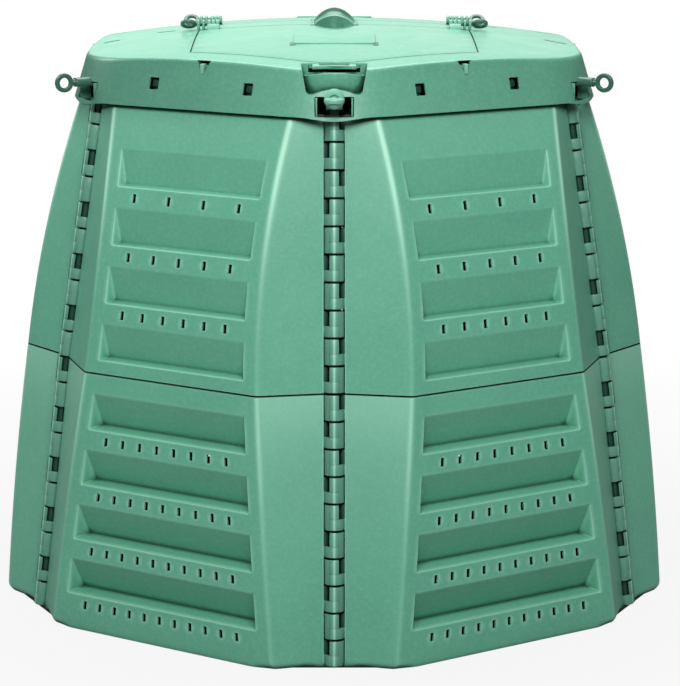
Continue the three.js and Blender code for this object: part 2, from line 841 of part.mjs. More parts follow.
function rod(level, length) {
  const geometry = new THREE.CylinderGeometry(rodRadius, rodRadius, length - 2 * rodEndGap, rodFacets);
  geometry.rotateX(Math.PI / 2);
  geometry.translate(0, 0, length / 2);
  return solid(geometry.applyMatrix4(columnMatrix(level, 0)));
}

// The upper rod runs on above the panels into a forked head for the turn-lock pin
function upperRod() {
  const reach = columnRadius(pinHeight);
  const middle = mix(headFoot, pinHeight - pinTipRadius, 1 / 2);
  const length = (rodLength(upper) * (middle - upper.foot)) / levelHeight;
  const blockLow = [-headHalf, -reach - headDepth / 2, headFoot];
  const block = boxBetween(blockLow, [headHalf, -reach + headDepth / 2, headTop]);
  const slotHalf = pinTipRadius + headSlotGap;
  const slot = boxBetween(
    [-slotHalf, -reach - headDepth, pinHeight - slotHalf],
    [slotHalf, -reach + headDepth, headTop + overrun],
  );
  return cut(join(rod(upper, length), solid(block)), solid(slot));
}

// A ring handle in the plane of Y and Z, centred at a place on Y
function ringHandle(outer, inner, thickness, place) {
  const shape = new THREE.Shape();
  shape.absarc(0, 0, outer, 0, 2 * Math.PI);
  const hole = new THREE.Path();
  hole.absarc(0, 0, inner, 0, 2 * Math.PI);
  shape.holes.push(hole);
  const options = { depth: thickness, bevelEnabled: false, curveSegments: ringFacets / 2 };
  const geometry = new THREE.ExtrudeGeometry(shape, options);
  geometry.translate(0, 0, -thickness / 2);
  geometry.rotateY(Math.PI / 2);
  return geometry.translate(0, place, 0);
}

// Turn-lock pin, made along -Y about its own axis: tip, shank and ring
function turnLockPin() {
  const neck = pinRingReach - mix(pinRingInner, pinRingOuter, 1 / 2);
  return join(
    solid(barAlongY(pinTipRadius, -pinShankStart - pinTipRoot, -pinTipStart, 0, 0, pinFacets)),
    solid(barAlongY(pinShankRadius, -neck, -pinShankStart, 0, 0, pinFacets)),
    solid(ringHandle(pinRingOuter, pinRingInner, pinRingThickness, -pinRingReach)),
  );
}

// Hinge pin, made along -Y: a shank through tablet and barrel, and a ring outside
function hingePin() {
  const ringReach = tabletEnd + hingeRingGap + hingeRingOuter;
  const neck = ringReach - mix(hingeRingInner, hingeRingOuter, 1 / 2);
  return join(
    solid(barAlongY(hingePinRadius, -neck, -barrelStart, 0, 0, hingeFacets)),
    solid(ringHandle(hingeRingOuter, hingeRingInner, hingeRingThickness, -ringReach)),
  );
}

function centreGrip() {
  const floor = domeApex - bowlDepth;
  const oval = (grow, foot, top) =>
    solid(prism(ovalOutline(bowlHalfX + grow, bowlHalfY + grow, ovalSteps), foot, top));
  const rim = lidBlock(-bowlRimWall - gripGap, skirtFoot)
    .subtract(lidBlock(-gripGap, skirtFoot - overrun))
    .intersect(oval(bowlRim, shoulderHeight, roofHigh));
  const cup = oval(0, floor - bowlWall, roofHigh).intersect(lidBlock(-bowlRimWall - gripGap, skirtFoot));
  const hollow = oval(-bowlWall, floor, roofHigh);
  const archRise = gripRise - bowlRimWall;
  const arch = Array.from({ length: ovalSteps + 1 }, (_, i) => {
    const angle = (i * Math.PI) / ovalSteps;
    return [bowlHalfX * Math.cos(angle), domeApex + archRise * Math.sin(angle) + bowlRimWall];
  });
  const webFoot = floor - bowlWall / 2;
  const outline = [...arch, [-bowlHalfX, webFoot], [bowlHalfX, webFoot]];
  const web = cornerBlock(outline, -gripWeb / 2, gripWeb / 2);
  const webInOval = solid(web).intersect(oval(-bowlWall / 2, floor - bowlWall, domeApex + 2 * gripRise));
  return join(join(cup, rim).subtract(hollow), webInOval);
}

// Assembly
const bin = new THREE.Group();

function addPiece(name, geometry, color, parent = bin) {
  const mesh = new THREE.Mesh(geometry, plastic(color));
  mesh.name = name;
  parent.add(mesh);
  return mesh;
}

const sideNames = ["front_right", "right", "rear_right", "rear_left", "left", "front_left"];
const cornerNames = ["front", "right_front", "right_rear", "rear", "left_rear", "left_front"];

const lowerPanelShape = geometryOf(lowerPanel());
const upperPanelShape = geometryOf(upperPanel());
sideNames.forEach((name, side) => {
  const turn = (side + 1 / 2) * sideTurn;
  addPiece(`lower_panel_${name}`, lowerPanelShape, green).rotation.z = turn;
  addPiece(`upper_panel_${name}`, upperPanelShape, green).rotation.z = turn;
});

const lowerRodShape = geometryOf(rod(lower, rodLength(lower)));
const upperRodShape = geometryOf(upperRod());
const turnLockShape = geometryOf(turnLockPin());
const quarterTurned = new Set(["front", "rear"]);
cornerNames.forEach((name, corner) => {
  addPiece(`lower_rod_${name}`, lowerRodShape, darkGreen).rotation.z = corner * sideTurn;
  addPiece(`upper_rod_${name}`, upperRodShape, darkGreen).rotation.z = corner * sideTurn;
  const seat = new THREE.Group();
  seat.rotation.z = corner * sideTurn;
  seat.position.z = pinHeight;
  bin.add(seat);
  const pin = addPiece(`turn_lock_pin_${name}`, turnLockShape, darkGreen, seat);
  pin.rotation.y = quarterTurned.has(name) ? Math.PI / 2 : 0;
});

addPiece("lid_frame", geometryOf(lidFrame()), lidGreen);
const flapShape = geometryOf(frontFlap());
addPiece("front_flap", flapShape, lidGreen);
addPiece("rear_flap", flapShape, lidGreen).rotation.z = Math.PI;
addPiece("centre_grip", geometryOf(centreGrip()), lidGreen);
const cupShape = geometryOf(fingerCup());
addPiece("front_finger_cup", cupShape, lidGreen);
addPiece("rear_finger_cup", cupShape, lidGreen).rotation.z = Math.PI;

const hingePinShape = geometryOf(hingePin());
for (const [name, side, end] of [
  ["front_right", -1, 1],
  ["front_left", -1, -1],
  ["rear_right", 1, 1],
  ["rear_left", 1, -1],
]) {
  const seat = new THREE.Group();
  seat.position.set(0, side * hingeOffset, hingeHeight);
  seat.rotation.z = (end * Math.PI) / 2;
  bin.add(seat);
  const pin = addPiece(`hinge_pin_${name}`, hingePinShape, darkGreen, seat);
  pin.rotation.y = Math.PI / 2 - side * end * hingeRingTilt;
}

export default bin;
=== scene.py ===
"""A six-sided garden compost bin: louvred panels hinged on rods, under a domed lid."""

import logging
import math
from collections.abc import Callable
from dataclasses import dataclass
from enum import Enum

import bmesh
import bpy
import numpy as np
from mathutils import Matrix, Vector

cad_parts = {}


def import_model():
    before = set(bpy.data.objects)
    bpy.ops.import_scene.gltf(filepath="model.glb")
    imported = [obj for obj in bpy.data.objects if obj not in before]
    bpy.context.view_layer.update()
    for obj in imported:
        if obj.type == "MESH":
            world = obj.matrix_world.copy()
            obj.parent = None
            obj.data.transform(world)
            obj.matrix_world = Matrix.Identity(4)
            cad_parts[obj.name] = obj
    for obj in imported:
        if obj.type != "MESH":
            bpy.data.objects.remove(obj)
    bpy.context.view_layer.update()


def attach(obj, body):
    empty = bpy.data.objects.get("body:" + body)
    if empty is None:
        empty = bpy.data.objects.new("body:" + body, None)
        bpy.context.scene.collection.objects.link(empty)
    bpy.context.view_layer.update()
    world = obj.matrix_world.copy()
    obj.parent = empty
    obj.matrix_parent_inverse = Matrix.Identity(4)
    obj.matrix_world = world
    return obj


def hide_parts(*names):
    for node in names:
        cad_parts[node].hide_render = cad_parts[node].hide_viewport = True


LOG = logging.getLogger("compost_bin")
MM = 0.001
SIDES = 6
TURN = math.tau / SIDES
QUARTER = math.pi / 2
COS_HALF = math.cos(TURN / 2)
SIN_HALF = math.sin(TURN / 2)
FRONT_REAR = (0, math.pi)
SIDE_NAMES = ("front_right", "right", "rear_right", "rear_left", "left", "front_left")
CORNER_NAMES = ("front", "right_front", "right_rear", "rear", "left_rear", "left_front")

Colour = tuple[float, float, float]
Outline = list[tuple[float, float]]
Faces = list[tuple[int, ...]]
Piece = bpy.types.Object
Socket = bpy.types.NodeSocket


class Slot(Enum):
    """The record's material slots."""

    BODY = "body_green"
    LID = "lid_green"
    DARK = "dark_green"


class Cut(Enum):
    """What a boolean keeps of its target."""

    OUTSIDE = "DIFFERENCE"
    INSIDE = "INTERSECT"


class Pattern(Enum):
    """Scale, detail and roughness of each noise in the plastic."""

    FLOW = (5.5, 4, 0.6)
    SPECK = (130, 6, 0.75)
    SHEEN = (17, 3, 0.5)
    WAVE = (11, 2, 0.5)
    GRAIN = (900, 3, 0.5)


# --------------------------------------------------------------------------- finishes


class Graph:
    """The nodes of a material or a world."""

    def __init__(self, owner: bpy.types.Material | bpy.types.World) -> None:
        """Switches the owner's nodes on.

        Args:
            owner: The material or world.
        """
        owner.use_nodes = True
        self.tree = owner.node_tree

    def fill(self, node: bpy.types.Node, values: dict[str | int, object]) -> None:
        """Fills inputs of a node with constants or with links from other sockets.

        Args:
            node: The node.
            values: Constants or other sockets, by the name or number of the input.
        """
        for key, value in values.items():
            if isinstance(value, Socket):
                self.tree.links.new(value, node.inputs[key])
            else:
                node.inputs[key].default_value = value

    def add(self, kind: str, values: dict[str | int, object] | None = None, **settings: object) -> bpy.types.Node:
        """Adds a node.

        Args:
            kind: The node's kind, without the prefix that all share.
            values: What its inputs are filled with.
            settings: Its properties.

        Returns:
            The node.
        """
        node = self.tree.nodes.new("ShaderNode" + kind)
        for name, value in settings.items():
            setattr(node, name, value)
        self.fill(node, values or {})
        return node

    def spread(self, source: Socket, low: float, high: float, start: float, end: float) -> Socket:
        """Maps the range from low to high onto the one from start to end."""
        ends = {"From Min": low, "From Max": high, "To Min": start, "To Max": end}
        return self.add("MapRange", {"Value": source, **ends}).outputs[0]

    def blend(self, factor: Socket, first: Socket | tuple[float, ...], second: Colour) -> Socket:
        """Mixes two colours by a factor."""
        values = {"Factor": factor, 6: first, 7: (*second, 1)}
        return self.add("Mix", values, data_type="RGBA").outputs[2]


@dataclass(frozen=True)
class MouldedPlastic:
    """Injection-moulded recycled plastic with a fine grain and flow marks, pale edges that are partly wear and partly
    painted highlight, painted light and shade from the tone attribute, and painted shade in crevices.
    """

    name: str
    colour: Colour
    pale: Colour
    deep: Colour
    roughness: float = 0.4
    grain: float = 0.1
    edge: float = 0.0012
    # Colour of painted shade, used for the tone's dark end and for the painted shade in crevices.
    shade_colour: Colour = (0.008, 0.05, 0.032)
    # Colour of painted highlights.
    highlight_colour: Colour = (0.42, 0.82, 0.62)
    # Strength and reach of the painted shade in crevices and gaps.
    painted_shade: float = 0.92
    painted_shade_reach: float = 0.016
    # Strength of the pale edges, partly edge wear and partly a painted highlight.
    edge_wear_and_highlight: float = 0.5
    refraction: float = 1.48

    def build(self) -> bpy.types.Material:
        """Makes the node material.

        Returns:
            The finished material.
        """
        material = bpy.data.materials.new(self.name)
        graph = Graph(material)
        add, spread, blend = graph.add, graph.spread, graph.blend
        where = add("TexCoord").outputs["Object"]

        def noise(pattern: Pattern) -> Socket:
            """A noise texture in object space.

            Args:
                pattern: Which noise.

            Returns:
                Its grey output.
            """
            scale, detail, rough = pattern.value
            values = {"Scale": scale, "Detail": detail, "Roughness": rough, "Vector": where}
            return add("TexNoise", values).outputs["Fac"]

        flow = spread(noise(Pattern.FLOW), 0.4, 0.72, 0, 0.55)
        speck = spread(noise(Pattern.SPECK), 0.45, 0.75, 0, 0.24)
        fleck = blend(speck, blend(flow, (*self.colour, 1), self.deep), self.pale)
        # Pale edges from pointiness, partly edge wear and partly a painted highlight.
        worn_and_highlit = spread(add("NewGeometry").outputs["Pointiness"], 0.503, 0.54, 0, self.edge_wear_and_highlight)
        # The tone attribute holds painted light: a painted highlight above 0, painted shade below 0.
        tone = add("Attribute", attribute_name="tone").outputs["Fac"]
        highlighted = blend(spread(tone, 0, 1, 0, 1), blend(worn_and_highlit, fleck, self.pale), self.highlight_colour)
        shaded = blend(spread(tone, 0, -1, 0, 1), highlighted, self.shade_colour)
        # Painted shade in crevices and gaps from ambient occlusion, held back where the tone paints a highlight.
        crevice = add("AmbientOcclusion", {"Distance": self.painted_shade_reach}, samples=6)
        shut = spread(crevice.outputs["AO"], 0.62, 0.3, 0, self.painted_shade)
        crevice_shaded = add("Math", {0: shut, 1: spread(tone, 0, 1, 1, 0)}, operation="MULTIPLY")
        gloss = spread(noise(Pattern.SHEEN), 0.3, 0.7, self.roughness - 0.05, self.roughness + 0.07)

        normal = add("Bevel", {"Radius": self.edge}, samples=4).outputs["Normal"]
        for pattern, strength, depth in ((Pattern.WAVE, 0.35, 0.0016), (Pattern.GRAIN, self.grain, 0.0004)):
            values = {"Strength": strength, "Distance": depth, "Height": noise(pattern), "Normal": normal}
            normal = add("Bump", values).outputs["Normal"]
        base = blend(crevice_shaded.outputs[0], shaded, self.shade_colour)
        shader = graph.tree.nodes["Principled BSDF"]
        graph.fill(shader, {"IOR": self.refraction, "Base Color": base, "Roughness": gloss, "Normal": normal})
        return material


BODY_PLASTIC = MouldedPlastic("moulded_body_green", (0.128, 0.43, 0.29), (0.3, 0.68, 0.52), (0.105, 0.37, 0.25))
# The lid gets weaker painted crevice shade and no pale edges.
LID_PLASTIC = MouldedPlastic(
    "moulded_lid_green", (0.122, 0.39, 0.265), (0.33, 0.7, 0.55), (0.1, 0.335, 0.228), 0.36, 0.06, painted_shade=0.78, edge_wear_and_highlight=0
)
PIN_PLASTIC = MouldedPlastic("moulded_pin_green", (0.1, 0.35, 0.235), (0.3, 0.65, 0.5), (0.08, 0.3, 0.2), 0.3, 0.05)
DARK_PLASTIC = MouldedPlastic(
    "moulded_dark_green", (0.022, 0.105, 0.066), (0.12, 0.33, 0.24), (0.015, 0.075, 0.047), 0.34, 0.05
)


# --------------------------------------------------------------------------- mesh tools


def linked(name: str, data: bpy.types.ID) -> Piece:
    """An object with the given data, linked to the scene.

    Args:
        name: The object's name.
        data: Its mesh, lamp or camera.

    Returns:
        The object.
    """
    made = bpy.data.objects.new(name, data)
    bpy.context.scene.collection.objects.link(made)
    return made


def make_object(name: str, points: np.ndarray, faces: Faces) -> Piece:
    """Makes an object from points in millimetres.

    Args:
        name: The object's name.
        points: The points, one row each.
        faces: Point numbers of each face.

    Returns:
        The linked object.
    """
    mesh = bpy.data.meshes.new(name)
    mesh.from_pydata((np.asarray(points, float) * MM).tolist(), [], faces)
    mesh.validate()
    return linked(name, mesh)


def skin(rings: list[np.ndarray], loop: bool = False) -> tuple[np.ndarray, Faces]:
    """A skin through equal closed rings.

    Args:
        rings: Rings of points, each counter-clockwise seen from the end.
        loop: Whether the last ring joins the first; otherwise both are capped.

    Returns:
        Points and faces.
    """
    count, total = len(rings[0]), len(rings)
    faces: Faces = []
    for ring in range(total if loop else total - 1):
        nxt = (ring + 1) % total
        for i in range(count):
            j = (i + 1) % count
            faces.append((ring * count + i, ring * count + j, nxt * count + j, nxt * count + i))
    if not loop:
        faces.append(tuple(reversed(range(count))))
        faces.append(tuple(range((total - 1) * count, total * count)))
    return np.vstack(rings), faces


def grid(rows: int, columns: int, holes: set[tuple[int, int]]) -> Faces:
    """The faces between rows of points, without those at the holes.

    Args:
        rows: Number of rows.
        columns: Points in a row.
        holes: Row and column of each face left out.

    Returns:
        The faces.
    """
    return [
        (r * columns + c, r * columns + c + 1, (r + 1) * columns + c + 1, (r + 1) * columns + c)
        for r in range(rows - 1)
        for c in range(columns - 1)
        if (r, c) not in holes
    ]


def oval(wide: float, long: float, steps: int, x: float = 0, y: float = 0) -> Outline:
    """An oval round a centre, counter-clockwise."""
    angles = [k * math.tau / steps for k in range(steps)]
    return [(x + wide * math.cos(a), y + long * math.sin(a)) for a in angles]


def arc(wide: float, long: float, start: float, end: float, count: int) -> Outline:
    """Points on an oval, from one angle in degrees to another."""
    angles = np.linspace(math.radians(start), math.radians(end), count)
    return [(wide * math.cos(a), long * math.sin(a)) for a in angles]


def between(side: int, start: float, end: float) -> tuple[float, float]:
    """The lower and upper end of a stretch on one side of the middle, where side is 1 or -1."""
    return min(side * start, side * end), max(side * start, side * end)


def prism(outline: Outline, foot: float, top: float, name: str = "cutter") -> Piece:
    """A counter-clockwise plan outline standing between two heights.

    Args:
        outline: The (x, y) points.
        foot: Lower height.
        top: Upper height.
        name: The object's name.

    Returns:
        The object.
    """
    plan = np.array(outline, float)
    rings = [np.column_stack([plan, np.full(len(plan), z)]) for z in (foot, top)]
    return make_object(name, *skin(rings))


def block(low: tuple[float, float, float], high: tuple[float, float, float], name: str = "cutter") -> Piece:
    """A block between two corners."""
    outline = [(low[0], low[1]), (high[0], low[1]), (high[0], high[1]), (low[0], high[1])]
    return prism(outline, low[2], high[2], name)


def across(outline: Outline, low: float, high: float, name: str = "bar") -> Piece:
    """A (reach, height) outline drawn along x from low to high, with reach measured along -y."""
    rings = [np.array([(x, -reach, height) for reach, height in outline]) for x in (high, low)]
    return make_object(name, *skin(rings))


def outward(outline: Outline, back: float, front: float) -> Piece:
    """An (x, z) outline drawn along -y from back to front."""
    rings = [np.array([(x, y, z) for x, z in outline]) for y in (-back, -front)]
    return make_object("block", *skin(rings))


def lathe(profile: Outline, steps: int, name: str) -> Piece:
    """Turns a (radius, height) profile round z and caps its ends.

    Args:
        profile: Points from the lower end to the upper end.
        steps: Steps of the turn.
        name: The object's name.

    Returns:
        The object.
    """
    angles = np.arange(steps) * math.tau / steps
    rings = [np.column_stack([r * np.cos(angles), r * np.sin(angles), np.full(steps, z)]) for r, z in profile]
    return make_object(name, *skin(rings))


def ring_handle(outer: float, inner: float, thickness: float, name: str) -> Piece:
    """A flat ring in the x-y plane with rounded edges.

    Args:
        outer: Outer radius.
        inner: Inner radius.
        thickness: Height along z.
        name: The object's name.

    Returns:
        The object.
    """
    steps, section_steps, squareness = 40, 16, 0.55
    middle, half = (outer + inner) / 2, (outer - inner) / 2
    section = []
    for c, s in oval(1, 1, section_steps):
        out, up = (math.copysign(abs(v) ** squareness, v) for v in (c, s))
        section.append((middle + half * out, thickness / 2 * up))
    rings = []
    for i in range(steps):
        angle = -i * math.tau / steps
        rings.append(np.array([(r * math.cos(angle), r * math.sin(angle), z) for r, z in section]))
    return make_object(name, *skin(rings, loop=True))


def rounded(outline: Outline, radius: float, steps: int = 5) -> Outline:
    """Rounds the corners of an outline.

    Args:
        outline: The points.
        radius: How far from a corner its rounding begins.
        steps: Points on each rounding.

    Returns:
        The rounded outline.
    """
    found = []
    count = len(outline)
    for i in range(count):
        before, here, after = (Vector(outline[(i + k) % count]) for k in (-1, 0, 1))
        a, b = (here + (end - here).normalized() * min(radius, (end - here).length / 2.1) for end in (before, after))
        for k in range(steps + 1):
            t = k / steps
            p = a * (1 - t) ** 2 + here * 2 * t * (1 - t) + b * t * t
            found.append((p.x, p.y))
    return found


def moved(obj: Piece, matrix: Matrix) -> Piece:
    """Moves an object's own points."""
    obj.data.transform(matrix)
    return obj


def shifted(obj: Piece, x: float, y: float, z: float) -> Piece:
    """Shifts an object's own points by millimetres."""
    return moved(obj, Matrix.Translation((x * MM, y * MM, z * MM)))


def turned(obj: Piece, angle: float, axis: str = "Z") -> Piece:
    """Turns an object's own points about an axis."""
    return moved(obj, Matrix.Rotation(angle, 4, axis))


def discard(obj: Piece) -> None:
    """Removes an object and its mesh.

    Args:
        obj: The object.
    """
    mesh = obj.data
    bpy.data.objects.remove(obj)
    bpy.data.meshes.remove(mesh)


def merged(objects: list[Piece], name: str) -> Piece:
    """Puts the meshes of several objects, which are removed, in one new object.

    Args:
        objects: The objects, which are removed.
        name: The new object's name.

    Returns:
        The new object.
    """
    work = bmesh.new()
    for obj in objects:
        work.from_mesh(obj.data)
        discard(obj)
    mesh = bpy.data.meshes.new(name)
    work.to_mesh(mesh)
    work.free()
    return linked(name, mesh)


def applied(obj: Piece) -> Piece:
    """Applies an object's modifiers.

    Args:
        obj: The object.

    Returns:
        The same object with its new mesh.
    """
    bpy.context.view_layer.update()
    graph = bpy.context.evaluated_depsgraph_get()
    mesh = bpy.data.meshes.new_from_object(obj.evaluated_get(graph))
    old = obj.data
    obj.modifiers.clear()
    obj.data = mesh
    bpy.data.meshes.remove(old)
    return obj


def carve(target: Piece, *tools: Piece, cut: Cut = Cut.OUTSIDE) -> Piece:
    """Runs one boolean of a target with several tools.

    Args:
        target: The object that changes.
        tools: The tools, which are removed.
        cut: What is kept.

    Returns:
        The changed target.
    """
    tool = tools[0] if len(tools) == 1 else merged(list(tools), "tools")
    modifier = target.modifiers.new("cut", "BOOLEAN")
    modifier.operation = cut.value
    modifier.solver = "EXACT"
    modifier.use_self = False
    modifier.object = tool
    applied(target)
    discard(tool)
    return target


def softened(obj: Piece, width: float, angle: float = 35) -> Piece:
    """Rounds the sharp edges of an object.

    Args:
        obj: The object.
        width: Width of the rounding in millimetres.
        angle: Edges sharper than this, in degrees, are rounded.

    Returns:
        The object.
    """
    modifier = obj.modifiers.new("soft", "BEVEL")
    modifier.width = width * MM
    modifier.segments = 2
    modifier.limit_method = "ANGLE"
    modifier.angle_limit = math.radians(angle)
    return applied(obj)


def walled(obj: Piece, wall: float) -> Piece:
    """Gives a sheet a wall behind its outer face.

    Args:
        obj: The sheet.
        wall: Thickness in millimetres.

    Returns:
        The object.
    """
    modifier = obj.modifiers.new("wall", "SOLIDIFY")
    modifier.thickness = wall * MM
    modifier.offset = -1
    return applied(obj)


def dress(obj: Piece, material: bpy.types.Material, angle: float = 32) -> Piece:
    """Gives an object its material and smooth shading with sharp edges kept.

    Args:
        obj: The object.
        material: The finish.
        angle: Edges sharper than this, in degrees, stay sharp.

    Returns:
        The object.
    """
    obj.data.materials.clear()
    obj.data.materials.append(material)
    obj.data.polygons.foreach_set("use_smooth", [True] * len(obj.data.polygons))
    obj.data.set_sharp_from_angle(angle=math.radians(angle))
    return obj


def toned(obj: Piece, tones: float | np.ndarray) -> Piece:
    """Sets the tone of an object's points, by one value or one each; the tone is painted light: a painted highlight
    above 0, painted shade below 0.

    Args:
        obj: The object.
        tones: One value, or one for each point.

    Returns:
        The object.
    """
    tone = obj.data.attributes.new("tone", "FLOAT", "POINT")
    tone.data.foreach_set("value", np.resize(np.asarray(tones, np.float32), len(obj.data.vertices)))
    return obj


def retoned(obj: Piece, rule: Callable[..., float]) -> Piece:
    """Gives each point a new tone of painted light or shade.

    Args:
        obj: The object.
        rule: Finds the tone from x, y and z in millimetres, the normal's z and the old tone.

    Returns:
        The object.
    """
    mesh = obj.data
    tone = mesh.attributes.get("tone") or mesh.attributes.new("tone", "FLOAT", "POINT")
    for vertex, held in zip(mesh.vertices, tone.data):
        held.value = rule(*(v / MM for v in vertex.co), vertex.normal.z, held.value)
    return obj


def place(obj: Piece, body: str, slot: Slot, *nodes: str) -> None:
    """Makes a piece ride on its body and stand for its solids.

    Args:
        obj: The piece.
        body: The body that it rides on.
        slot: Its material slot; not used.
        *nodes: The nodes that it replaces.
    """
    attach(obj, body)
    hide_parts(*nodes)


def stand(pattern: Piece, name: str, pose: Matrix, body: str, slot: Slot, node: str) -> None:
    """Puts a piece with a pattern's mesh in its place.

    Args:
        pattern: The object whose mesh is shared.
        name: The piece's name.
        pose: Where it stands.
        body: The body that it rides on.
        slot: Its material slot.
        node: The node that it replaces.
    """
    piece = linked(name, pattern.data)
    piece.matrix_world = pose
    place(piece, body, slot, node)


def mix(a: float, b: float, share: float) -> float:
    """A value between two others."""
    return a + (b - a) * share


def smooth(t: np.ndarray) -> np.ndarray:
    """Smoothstep of a value clipped to 0..1."""
    t = np.clip(t, 0, 1)
    return t * t * (3 - 2 * t)


# --------------------------------------------------------------------------- the bin's form


@dataclass
class BinForm:
    """Where the columns and fields of the bin stand at each height, in millimetres."""

    level_height: float = 465.0
    wall: float = 3.6
    column: tuple[float, float, float] = (624.0, 561.0, 483.0)
    reach: tuple[float, float, float] = (616.0, 571.5, 459.0)
    half: tuple[float, float, float] = (232.0, 178.0, 182.0)
    bow: tuple[float, float] = (4.5, 14.0)
    pinch: float = 11.0
    knuckle: float = 16.5
    clearance: float = 1.5
    wing_front: float = 3.0

    def _levels(self, values: tuple[float, float, float], z: np.ndarray) -> np.ndarray:
        """Piecewise straight values over the two levels."""
        return np.interp(z, [0, self.level_height, 2 * self.level_height], values)

    def _bow(self, z: np.ndarray) -> tuple[np.ndarray, np.ndarray]:
        """Bow shares of the lower and upper level.

        Args:
            z: Heights.

        Returns:
            The shares in the lower and the upper level, 1 at mid height.
        """
        share = np.asarray(z, float) / self.level_height
        low = np.clip(share, 0, 1)
        high = np.clip(share - 1, 0, 1)
        return 4 * low * (1 - low), 4 * high * (1 - high)

    def column_radius(self, z: np.ndarray) -> np.ndarray:
        """Radius of the rods' axes."""
        return self._levels(self.column, z)

    def field_reach(self, z: np.ndarray) -> np.ndarray:
        """How far out the flat field stands."""
        low, high = self._bow(z)
        return self._levels(self.reach, z) + self.bow[0] * low + self.bow[1] * high

    def field_half(self, z: np.ndarray) -> np.ndarray:
        """Half the width of the flat field."""
        _, high = self._bow(z)
        return self._levels(self.half, z) - self.pinch * high

    def edge(self, z: np.ndarray) -> tuple[np.ndarray, np.ndarray]:
        """Half width and reach of a panel's outer edge.

        Args:
            z: Heights.

        Returns:
            Half widths and reaches.
        """
        radius = self.column_radius(z)
        inset = self.knuckle + self.clearance
        half = radius * SIN_HALF - inset * COS_HALF + self.wing_front * SIN_HALF
        reach = radius * COS_HALF + inset * SIN_HALF + self.wing_front * COS_HALF
        return half, reach

    def column_matrix(self, level: int, turn: float) -> Matrix:
        """Frame of a column: x to the viewer's right, -y outward, z up the leaning rod.

        Args:
            level: 0 for the lower level, 1 for the upper.
            turn: Angle of the column round the bin.

        Returns:
            The frame, from the column to the bin.
        """
        foot, top = self.column[level], self.column[level + 1]
        lean = math.atan2(foot - top, self.level_height)
        shift = Matrix.Translation((0, -foot * MM, level * self.level_height * MM))
        return Matrix.Rotation(turn, 4, "Z") @ shift @ Matrix.Rotation(-lean, 4, "X")

    def rod_length(self, level: int) -> float:
        """Length of a rod between the ends of its level."""
        return math.hypot(self.level_height, self.column[level] - self.column[level + 1])


LEDGE_ROWS = (-4, -2.6, -1.6, -1.0, -0.4, 0.2, 0.8, 1.4, 2.0, 2.8, 3.6, 4.6, 6, 8)
POCKET_TOP_ROWS = (-6, -3, 0, 3)
FOOT_ROWS = (0, 0.8, 2, 4, 7, 11, 16)
TOP_ROWS = (0, 1.5, 4, 6, 8, 10, 12, 14, 16, 18, 20)
POCKET_SIDE_COLUMNS = (-10.6, -9.4, -8.4, -7.4, -6.2, -5, -3.8, -2.6, -1.4, -0.4, 0.4, 1.4)
CREASE_COLUMNS = (-18, -13, -9, -6, -4, -2.6, -1.3, 0, 1.3, 2.6, 4, 6, 9, 13)
WING_COLUMNS = (0.13, 0.26, 0.4, 0.54, 0.68, 0.82, 0.92, 0.96, 0.982, 1)


